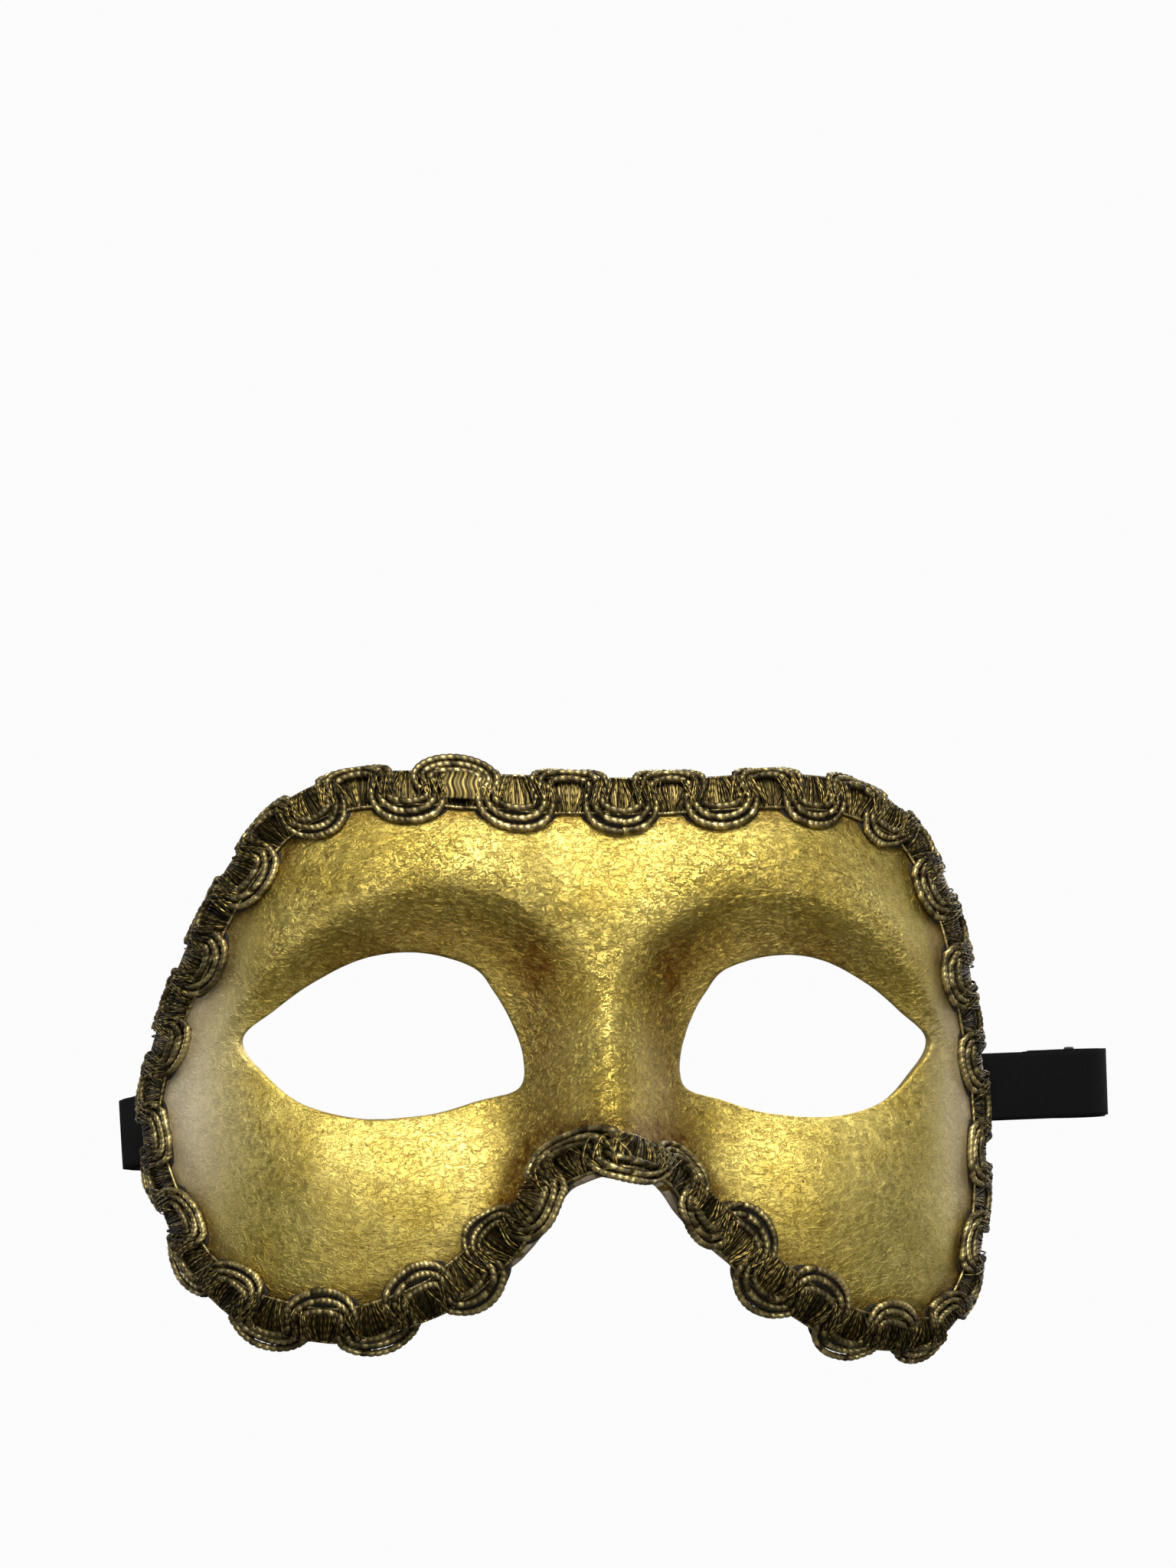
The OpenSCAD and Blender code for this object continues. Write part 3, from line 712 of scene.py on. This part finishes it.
def scroll_side(a):
    along = (SCROLL_L / (2 * math.pi) + 2 * OVERHANG * np.cos(2 * a)
             + 4 * SHOULDER * np.cos(4 * a))
    d = np.stack([along, (TIP - SCROLL_A) * np.sin(a) - 3 * TIP * np.sin(3 * a)], axis=-1)
    d /= np.linalg.norm(d, axis=-1, keepdims=True)
    return np.stack([-d[..., 1], d[..., 0]], axis=-1)


def wobble(along, size, height, seed):
    """A gentle random wander, as hand-laid threads have."""
    knots = np.random.default_rng(seed).normal(size=int(along[-1] / size) + 8)
    knots[-8:] = knots[:8]
    t = along / along[-1] * (len(knots) - 8)
    k = np.floor(t).astype(int)
    s = ease(0, 1, t - k)
    return height * (knots[k] * (1 - s) + knots[k + 1] * s)


def wrapped(run, angle, pitch, gap_share=0.5):
    """Foil, 1, or gap, 0, on a wrapped cord, and the tone of that turn of foil."""
    turns = run / pitch + 0.3 * np.sin(angle) + 1
    across = np.abs(np.mod(turns, 1) - 0.5) * 2
    tones = rng.random(int(turns.max()) + 3)
    return ease(1.0, 1.0 - gap_share, across), tones[np.floor(turns).astype(int) + 1]


def cord_on_tape(name, l, w, h, radius, pitch, node, sides=8, bright=1.0):
    """A closed wrapped cord through tape places l, w and h, with shade painted on where bright is
    below 1.
    """
    flat = np.stack([l, w], axis=-1)
    step = np.roll(flat, -1, axis=0) - flat
    step[-1] = step[-2]
    run = np.concatenate([[0], np.cumsum(np.linalg.norm(step, axis=1))[:-1]])
    d = step / np.linalg.norm(step, axis=1, keepdims=True)
    side = np.stack([-d[:, 1], d[:, 0]], axis=1)
    v = np.linspace(0, 2 * math.pi, sides, endpoint=False)[None, :]
    foil_share, tone = wrapped(run[:, None], v, pitch)
    r = radius * (0.72 + 0.28 * foil_share)
    out = r * np.cos(v)
    points = braid_point(l[:, None] + side[:, :1] * out, w[:, None] + side[:, 1:] * out,
                         h[:, None] + r * np.sin(v))
    faces = grid_faces(len(l), sides, True, True)
    dull = np.broadcast_to(bright, len(l))[:, None]
    cord = add_piece(name, points, faces, "mask", node,
                     {"wrap_and_glint": foil_share, "tone": tone * dull})
    cord.data.materials.append(foil)
    return cord


# %% Three scrolled cords
CORD_RINGS = SCROLLS * 230
turn_angle = np.linspace(0, SCROLLS * 2 * math.pi, CORD_RINGS, endpoint=False)
middle, beside = scroll_mid(turn_angle), scroll_side(turn_angle)
for k, name in ((1, "outer"), (0, "middle"), (-1, "inner")):
    apart = 1 + FAN_OUT * np.cos(turn_angle) ** 2
    place_on_tape = middle + k * (CORD_STEP * apart)[:, None] * beside
    l = laid(place_on_tape[:, 0])
    w = BAND_MID + SCROLL_IN + place_on_tape[:, 1] + wobble(l + 9, 6.0, 0.1, 20 + k)
    over_band = 1 - ease(BAND_W / 2 - 0.4, BAND_W / 2 + 1.8, np.abs(place_on_tape[:, 1]))
    h = CORD_D / 2 + GLUE + 0.1 + (BAND_T + 0.05) * over_band
    h = h + wobble(l + 9, 2.5, 0.06, 30 + k)
    # Painted shade: where a cord runs over the band, under the crossing threads, its turns are
    # darker.
    cord_on_tape("braid_" + name + "_cord", l, w, h, CORD_D / 2 * 1.04, WRAP_MM,
                 ["braid_cord_" + name], 8, 1 - 0.6 * over_band)

# %% Dark net that holds the scrolls together
NET_RINGS, NET_ROWS, NET_HALF_W, NET_PAST, NET_T = 2000, 14, 7.2, 1.7, 0.12
l = np.linspace(0, RIM_L, NET_RINGS, endpoint=False)
beyond = []
for start in (0, SCROLL_L / 2):
    off_middle = np.abs(np.mod(l - start + SCROLL_L / 2, SCROLL_L) - SCROLL_L / 2)
    share = np.sqrt(np.clip(1 - (off_middle / NET_HALF_W) ** 2, 0, 1))
    beyond.append((SCROLL_A + NET_PAST - BAND_W / 2) * share)
high, low = (BAND_MID + SCROLL_IN + sign * (BAND_W / 2 - 0.3 + part)
             for sign, part in zip((1, -1), beyond))
w = low[:, None] + (high - low)[:, None] * np.linspace(0, 1, NET_ROWS)
net = add_piece("braid_dark_net", braid_point(laid(l)[:, None], w, 0.13),
                grid_faces(NET_RINGS, NET_ROWS, True), "mask", closed=False)
thicken(net, NET_T, 0.0)
net.data.materials.append(netting)

# %% The band under them, and its edges
BAND_RINGS, BAND_ROWS, WEFT_MM = 2400, 12, 0.36
l = np.linspace(0, RIM_L, BAND_RINGS, endpoint=False)
w = np.linspace(-1, 1, BAND_ROWS)
crown = GLUE + BAND_T * (1 - 0.35 * np.abs(w) ** 3)
threads = 0.5 + 0.5 * np.sin(2 * math.pi * l[:, None] / WEFT_MM + 3 * w)
top = braid_point(l[:, None], BAND_MID + w * (BAND_W / 2 - 0.05),
                  crown + 0.07 * threads - 0.1)
under = braid_point(l[:, None], BAND_MID + w[::-1] * (BAND_W / 2 - 0.05), 0.08)
points = np.concatenate([top, under], axis=1)
marks = {"wrap_and_glint": np.concatenate([threads, threads], axis=1),
         "tone": np.repeat(rng.random((BAND_RINGS, 1)) * 0.6, 2 * BAND_ROWS, axis=1)}
band = add_piece("braid_band", points, grid_faces(BAND_RINGS, 2 * BAND_ROWS, True, True), "mask",
                 ["braid_band"], marks)
band.data.materials.append(lame)

EDGE_CORD_RINGS = 2600
l = np.linspace(0, RIM_L, EDGE_CORD_RINGS, endpoint=False)
for side, name in ((1, "inner"), (-1, "outer")):
    w = BAND_MID + side * BAND_W / 2 + wobble(l + 9, 4.0, 0.08, 40 + side)
    cord_on_tape("braid_" + name + "_bead_edge", l, w, np.full(len(l), 0.55), 0.3, 0.62, None,
                 sides=6)

# %% Fans of bronze threads inside each scroll
FAN_THREADS, CROSSING_THREADS = 17, 12
THREAD_RINGS, THREAD_SIDES, THREAD_R = 16, 5, 0.16
FAN_FROM, FAN_REACH, FAN_CREST, FAN_OPENS = -3.3, 6.2, 0.5, 2.0
CROSSING_FROM, CROSSING_REACH, CROSSING_HALF_W, CROSSING_TOP = -3.0, 6.1, 2.3, 2.34


def tubes(paths, radius, sides):
    """Many open tubes at once: paths is threads by rings by (l, w, h) on the tape."""
    step = np.gradient(paths, axis=1)
    side = np.stack([-step[..., 1], step[..., 0]], axis=-1)
    side /= np.linalg.norm(side, axis=-1, keepdims=True)
    v = np.linspace(0, 2 * math.pi, sides, endpoint=False)
    out = radius * np.cos(v)
    rings = [paths[..., 0, None] + side[..., :1] * out, paths[..., 1, None] + side[..., 1:] * out,
             paths[..., 2, None] + radius * np.sin(v)]
    points = braid_point(*rings)
    one = grid_faces(paths.shape[1], sides, False, True)
    starts = np.arange(paths.shape[0])[:, None, None] * paths.shape[1] * sides
    return points, (one[None] + starts).reshape(-1, 4)


fan_paths = []
t = np.linspace(0, 1, THREAD_RINGS)
for scroll in range(2 * SCROLLS):
    inner = 1 if scroll % 2 == 0 else -1
    centre = SCROLL_L * scroll / 2
    for q in np.linspace(-1, 1, FAN_THREADS):
        q = q + rng.normal() * 0.05
        across = FAN_FROM + FAN_REACH * t
        l = centre + q * FAN_OPENS * (1 + ease(0.0, 0.75, t)) + rng.normal() * 0.08
        h = 0.72 + FAN_CREST * np.sin(math.pi * np.clip(t * 1.05, 0, 1)) + rng.normal() * 0.05
        fan_paths.append(np.stack([laid(l), BAND_MID + inner * across, h], axis=-1))
for crossing in range(2 * SCROLLS):
    centre = SCROLL_L * (crossing + 0.5) / 2
    for q in np.linspace(-1, 1, CROSSING_THREADS):
        slant = rng.choice([-1, 1]) * rng.uniform(0.3, 1.4)
        across = CROSSING_FROM + CROSSING_REACH * t
        l = centre + q * CROSSING_HALF_W + slant * (t - 0.5) * 2 + rng.normal() * 0.15
        h = CROSSING_TOP - 1.3 * np.abs(2 * t - 1) ** 5 + rng.normal() * 0.06
        fan_paths.append(np.stack([laid(l), BAND_MID + across, h], axis=-1))
fan_paths = np.array(fan_paths)
points, faces = tubes(fan_paths, THREAD_R, THREAD_SIDES)
tone = np.repeat(rng.random(len(fan_paths)) ** 1.5, THREAD_RINGS * THREAD_SIDES)
# Painted glints: the colour of each fan thread turns bright and dark in waves along it.
wave = np.sin(np.linspace(0, 26, THREAD_RINGS) + rng.uniform(0, 6, (len(fan_paths), 1)))
glint = np.repeat((0.5 + 0.5 * wave).ravel(), THREAD_SIDES)
fans = add_piece("braid_bronze_fans", points, faces, "mask", None,
                 {"wrap_and_glint": glint, "tone": tone})
fans.data.materials.append(lame)

# %% [markdown]
# ## Where the braid's ends meet
#
# The braid goes once round and its two ends meet on the forehead. The upper end is turned under and
# glued over the other, which leaves a thicker place with a fold that stands up a little. Its last
# scroll has nothing to fold round, so it stands up past the edge. Three short tubes make it, laid by
# the same rule as the cords but straight on at the edge.

# %% The folded end
FOLD_AT, FOLD_L = -27.0, 7.0
FOLD_ROWS, FOLD_COLUMNS = 30, 24
across, along = np.meshgrid(np.linspace(0, 1, FOLD_COLUMNS), np.linspace(0, 1, FOLD_ROWS))
lift = 1.6 + 0.5 * np.sin(math.pi * across) + 0.35 * bell(along - 0.5, 0.4)
weave = 0.1 * np.sin(2 * math.pi * along * FOLD_L / WEFT_MM)
l = FOLD_AT + FOLD_L * along + 0.25 * np.sin(across * 9)
points = braid_point(l, -0.6 + 6.2 * across, lift + weave)
marks = {"wrap_and_glint": 0.5 + weave / 0.2, "tone": 0.3 + 0.3 * np.sin(along * 40)}
end_fold = add_piece("braid_end_fold", points, grid_faces(FOLD_ROWS, FOLD_COLUMNS), "mask",
                     ["braid_end_fold"], marks, closed=False)
thicken(end_fold, 0.5, 0.0)
end_fold.data.materials.append(lame)

# %% Its last scroll stands up over the forehead
STAND_MID, STAND_RINGS, STAND_LEAN = FOLD_AT + 2.0, 160, 0.25
STAND_FOOT, STAND_HALF_W, STAND_TALL, STAND_DULL = 1.5, 7.0, 4.4, 0.6


def standing(l, w, h):
    """A tape place that goes straight on past the edge instead of folding round it."""
    edge, before = braid_point(l, 0.02, h), braid_point(l, 1.0, h)
    up = (edge - before) / np.linalg.norm(edge - before, axis=-1, keepdims=True)
    up = up + np.array([0, STAND_LEAN, 0])
    past = edge + np.maximum(-w, 0)[..., None] * up
    return np.where((w < 0)[..., None], past, braid_point(l, np.maximum(w, 0), h))


for k in range(3):
    t = np.linspace(-0.2, 1.2, STAND_RINGS) * math.pi
    half, tall = STAND_HALF_W - 1.45 * k, STAND_TALL - 1.35 * k
    l = STAND_MID - half * np.cos(t)
    w = STAND_FOOT - tall * np.sin(t)
    v = np.linspace(0, 2 * math.pi, 8, endpoint=False)[None, :]
    run = np.concatenate([[0], np.cumsum(np.hypot(np.diff(l), np.diff(w)))])
    foil_share, tone = wrapped(run[:, None], v, WRAP_MM)
    r = CORD_D / 2 * (0.8 + 0.2 * foil_share)
    side = np.stack([np.gradient(w), -np.gradient(l)], axis=1)
    side /= np.linalg.norm(side, axis=1, keepdims=True)
    points = standing(l[:, None] + side[:, :1] * r * np.cos(v),
                      w[:, None] + side[:, 1:] * r * np.cos(v), 2.0 + r * np.sin(v))
    arc = add_piece(f"braid_end_scroll_{k}", points, grid_faces(STAND_RINGS, 8, False, True), "mask",
                    None, {"wrap_and_glint": foil_share, "tone": tone * STAND_DULL})
    arc.data.materials.append(foil)
across, t = np.meshgrid(np.linspace(0.05, 1, 8), np.linspace(0, 1, 60) * math.pi)
points = standing(STAND_MID - STAND_HALF_W * across * np.cos(t),
                  STAND_FOOT - (STAND_TALL - 0.1) * across * np.sin(t), 1.5)
backing = add_piece("braid_end_net", points, grid_faces(60, 8), "mask",
                    closed=False)
thicken(backing, NET_T, 0.0)
backing.data.materials.append(netting)

# %% [markdown]
# ## The ribbon ties
#
# Each tie is 450 mm of 13 mm ribbon. One end is glued inside the temple under a paper patch. The
# loose part leaves sideways from behind the edge, and what isn't needed is rolled up behind it, as
# in a shop, with a loop of thread through the roll. A ribbon is one sheet, so it is one piece that
# bends at the mask's edge. Cloth simulation could roll it up, but a spiral with a little air
# between its turns can be given the ribbon's exact length.

# %% Where a tie runs
RIBBON_W, RIBBON_T, RIBBON_L = 13.0, 0.32, 450.0
TIE_Z, TIE_EDGE, RUN, SWING, DROP = [-13, -6], [81.5, 77], [11.4, 22], [60, 0], [8, -2]
GLUED_L, RIBBON_GAP, CAD_RIBBON_T = 9.0, 0.25, 0.5
ROLL_R, ROLL_PITCH = 8.2, 0.46
SIDES = ("left", "right")


def hinge_at(k):
    place = skin_point(np.full(1, TIE_EDGE[k]), np.full(1, TIE_Z[k]),
                       SHELL_T + RIBBON_GAP + CAD_RIBBON_T / 2)[0]
    return np.array([place[0] + 0.4, place[1] + 0.4, TIE_Z[k]])


def from_tie(k, local):
    """Points given along the loose ribbon, behind it and up it, as the tie lies at rest."""
    drop, swing = math.radians(DROP[k]), math.radians(SWING[k])
    x = local[..., 0] * math.cos(drop) + local[..., 2] * math.sin(drop)
    z = local[..., 2] * math.cos(drop) - local[..., 0] * math.sin(drop)
    y = local[..., 1]
    turned = np.stack([x * math.cos(swing) - y * math.sin(swing),
                       x * math.sin(swing) + y * math.cos(swing), z], axis=-1)
    return (turned + hinge_at(k)) * [(-1, 1)[k], 1, 1]


# %% The ribbons
RIBBON_COLUMNS = 15
across = np.linspace(-1, 1, RIBBON_COLUMNS)
for k, name in enumerate(SIDES):
    share = np.linspace(0, 1, 24)[:, None]
    x = TIE_EDGE[k] - GLUED_L * (1 - share) + 0 * across
    z = TIE_Z[k] + across * RIBBON_W / 2 + 0 * share
    back = SHELL_T + RIBBON_GAP + CAD_RIBBON_T / 2
    glued = skin_point(x, z, back) * [(-1, 1)[k], 1, 1]
    middle = glued[:, RIBBON_COLUMNS // 2]
    glued_run = np.linalg.norm(np.diff(middle, axis=0), axis=1).sum()
    straight = np.linspace(1.2, RUN[k], 30)
    top_r = ROLL_R - RIBBON_T / 2
    spare = RIBBON_L - glued_run - RUN[k]
    low_r = math.sqrt(top_r ** 2 - spare * ROLL_PITCH / math.pi)
    turns = (top_r - low_r) / ROLL_PITCH
    angle = np.linspace(0, turns * 2 * math.pi, int(turns * 72))[1:]
    r = top_r - ROLL_PITCH * angle / (2 * math.pi) + 0.05 * np.sin(angle * 0.37 + k)
    path = np.concatenate([np.stack([straight, 0 * straight], axis=1),
                           np.stack([RUN[k] + r * np.sin(angle),
                                     top_r - r * np.cos(angle)], axis=1)])
    slip = np.concatenate([0 * straight, 0.18 * np.sin(angle * 0.31 + 2 * k)])
    curl = 0.25 * np.exp(-((path[:, :1] - RUN[k] * 0.5) / 6) ** 2) * (across ** 2)
    loose = np.stack([path[:, :1] + 0 * across, path[:, 1:] + curl,
                      across * RIBBON_W / 2 + slip[:, None]], axis=-1)
    points = np.concatenate([glued, from_tie(k, loose)])
    run = np.concatenate([[0], np.cumsum(np.linalg.norm(np.diff(
        points[:, RIBBON_COLUMNS // 2], axis=0), axis=1))])
    faces = grid_faces(len(points), RIBBON_COLUMNS)
    ribbon = add_piece(f"tie_{name}_ribbon", points, faces, None,
                       [f"tie_{name}_ribbon", f"tie_{name}_roll", f"tie_{name}_root"],
                       {"run": np.repeat(run, RIBBON_COLUMNS)}, closed=False)
    thicken(ribbon, RIBBON_T, 0.0)
    ribbon.data.materials.append(grosgrain)
    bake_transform(ribbon)
    print(f"{name} ribbon: {run[-1]:.0f} mm, {turns:.1f} turns down to {low_r:.1f} mm")

# %% Paper patches over the glued ends
PATCH_N = 26
for k, name in enumerate(SIDES):
    a, b = np.meshgrid(np.linspace(-1, 1, PATCH_N), np.linspace(-1, 1, PATCH_N))
    ragged = 1 + 0.05 * np.sin(7 * np.arctan2(a, b) + k) + 0.04 * np.sin(17 * np.arctan2(a, b))
    x = TIE_EDGE[k] - 4.5 - GLUED_L / 2 + a * ragged * GLUED_L / 2
    z = TIE_Z[k] + b * ragged * (RIBBON_W / 2 + 2)
    over = bell(np.maximum(np.abs(b) * (RIBBON_W / 2 + 2) - RIBBON_W / 2 + 0.6, 0), 1.0)
    back = SHELL_T + 0.28 + (2 * RIBBON_GAP + CAD_RIBBON_T - 0.2) * over
    points = skin_point(x, z, back) * [(-1, 1)[k], 1, 1]
    patch = add_piece(f"tie_{name}_patch", points, grid_faces(PATCH_N, PATCH_N), "mask",
                      [f"tie_{name}_patch"], closed=False)
    thicken(patch, 0.3, 0.0)
    patch.data.materials.append(paper)

# %% A loop of thread through each roll
LOOP_RINGS, LOOP_SIDES, LOOP_R, HOLE_R, LOOP_TURNS = 260, 8, 0.28, 2.8, 2
for k, name in enumerate(SIDES):
    t = np.linspace(0, 2 * math.pi * LOOP_TURNS, LOOP_RINGS)
    radial = (ROLL_R + HOLE_R) / 2 + (ROLL_R - HOLE_R + 1.1) / 2 * np.clip(1.35 * np.cos(t), -1, 1)
    high = (RIBBON_W / 2 + 0.3) * np.clip(1.15 * np.sin(t), -1, 1)
    beside = 0.62 * (t / t[-1] - 0.5) * LOOP_TURNS
    angle = math.radians(60)
    middle = np.stack([RUN[k] + radial * math.cos(angle) - beside * math.sin(angle),
                       ROLL_R - 0.25 + radial * math.sin(angle) + beside * math.cos(angle),
                       high], axis=-1)
    forward = np.gradient(middle, axis=0)
    forward /= np.linalg.norm(forward, axis=1, keepdims=True)
    wide = np.array([-math.sin(angle), math.cos(angle), 0])
    third = np.cross(forward, wide)
    third /= np.linalg.norm(third, axis=1, keepdims=True)
    v = np.linspace(0, 2 * math.pi, LOOP_SIDES, endpoint=False)[None, :, None]
    points = middle[:, None] + LOOP_R * (np.cos(v) * wide + np.sin(v) * third[:, None])
    run = np.repeat(np.linspace(0, 60, LOOP_RINGS), LOOP_SIDES)
    loop = add_piece(f"tie_{name}_thread", from_tie(k, points),
                     grid_faces(LOOP_RINGS, LOOP_SIDES, False, True), "tie_" + name,
                     [f"tie_{name}_thread"], {"run": run})
    loop.data.materials.append(cotton)

# %% [markdown]
# ## Floor, room and light
#
# Gold shows what is round it. A big soft light above and in front draws the broad glow on the
# forehead and cheeks, a low card in front lifts the cheeks' undersides, two windows behind the sides
# model the temples, and one light from behind shows the back. The rest of the room stays dim for the
# metal to mirror. An image of a room could light it too, but five plain lights can be moved one by
# one. The pale floor and the room behind look almost white to the camera.

# %% Floor and room
FLOOR_BELOW, FLOOR_SIZE, SEEN_WHITE = 0.09, 6.0, 0.97
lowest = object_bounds()[0][2]
mesh = bpy.data.meshes.new("floor")
corner = FLOOR_SIZE / 2
mesh.from_pydata([(-corner, -corner, 0), (corner, -corner, 0), (corner, corner, 0),
                  (-corner, corner, 0)], [], [(0, 1, 2, 3)])
floor = bpy.data.objects.new("floor", mesh)
floor.location.z = lowest - FLOOR_BELOW
bpy.context.scene.collection.objects.link(floor)
chalk, tree, shader = new_material("chalk-white painted floor")
set_inputs(shader, {"Base Color": paint("#5E5C5A"), "Roughness": 0.9})
seen = add_node(tree, "LightPath", out="Is Camera Ray")
glow = add_node(tree, "Emission", {"Color": paint("#FFFFFF"), "Strength": SEEN_WHITE})
mix = add_node(tree, "MixShader", {0: seen, 1: shader.outputs[0], 2: glow})
set_inputs(tree.nodes["Material Output"], {"Surface": mix})
mesh.materials.append(chalk)

world = bpy.data.worlds.new("room")
bpy.context.scene.world = world
world.use_nodes = True
tree = world.node_tree
room = tree.nodes["Background"]
set_inputs(room, {"Color": paint("#C4C2C0"), "Strength": 0.09})
white = add_node(tree, "Background", {"Color": paint("#FFFFFF"), "Strength": SEEN_WHITE})
seen = add_node(tree, "LightPath", out="Is Camera Ray")
mix = add_node(tree, "MixShader", {0: seen, 1: room.outputs[0], 2: white})
set_inputs(tree.nodes["World Output"], {"Surface": mix})
bpy.context.scene.view_settings.view_transform = "Standard"
print("floor at", round(floor.location.z, 3), "m")


# %% Lights
def add_light(name, place, size, watts, colour, aim=(0, 0, 0)):
    data = bpy.data.lights.new(name, "AREA")
    data.shape, data.size, data.size_y = "RECTANGLE", *size
    data.energy, data.color = watts, paint(colour)[:3]
    light = bpy.data.objects.new(name, data)
    light.location = place
    light.rotation_euler = (Vector(aim) - Vector(place)).to_track_quat("-Z", "Y").to_euler()
    bpy.context.scene.collection.objects.link(light)
    print(f"{name}: {watts} W")


add_light("softbox above", (0.0, -0.42, 0.5), (0.34, 0.4), 6.4, "#FFFCF4")
add_light("card in front", (0.0, -0.6, -0.08), (0.7, 0.12), 1.9, "#FFFFFF")
add_light("window left", (-0.65, 0.3, 0.1), (0.5, 0.6), 1.3, "#F2F4FF")
add_light("window right", (0.65, 0.3, 0.1), (0.5, 0.6), 1.5, "#F2F4FF")
add_light("rear light", (0.4, 0.7, 0.5), (0.6, 0.6), 4.0, "#FFFFFF")
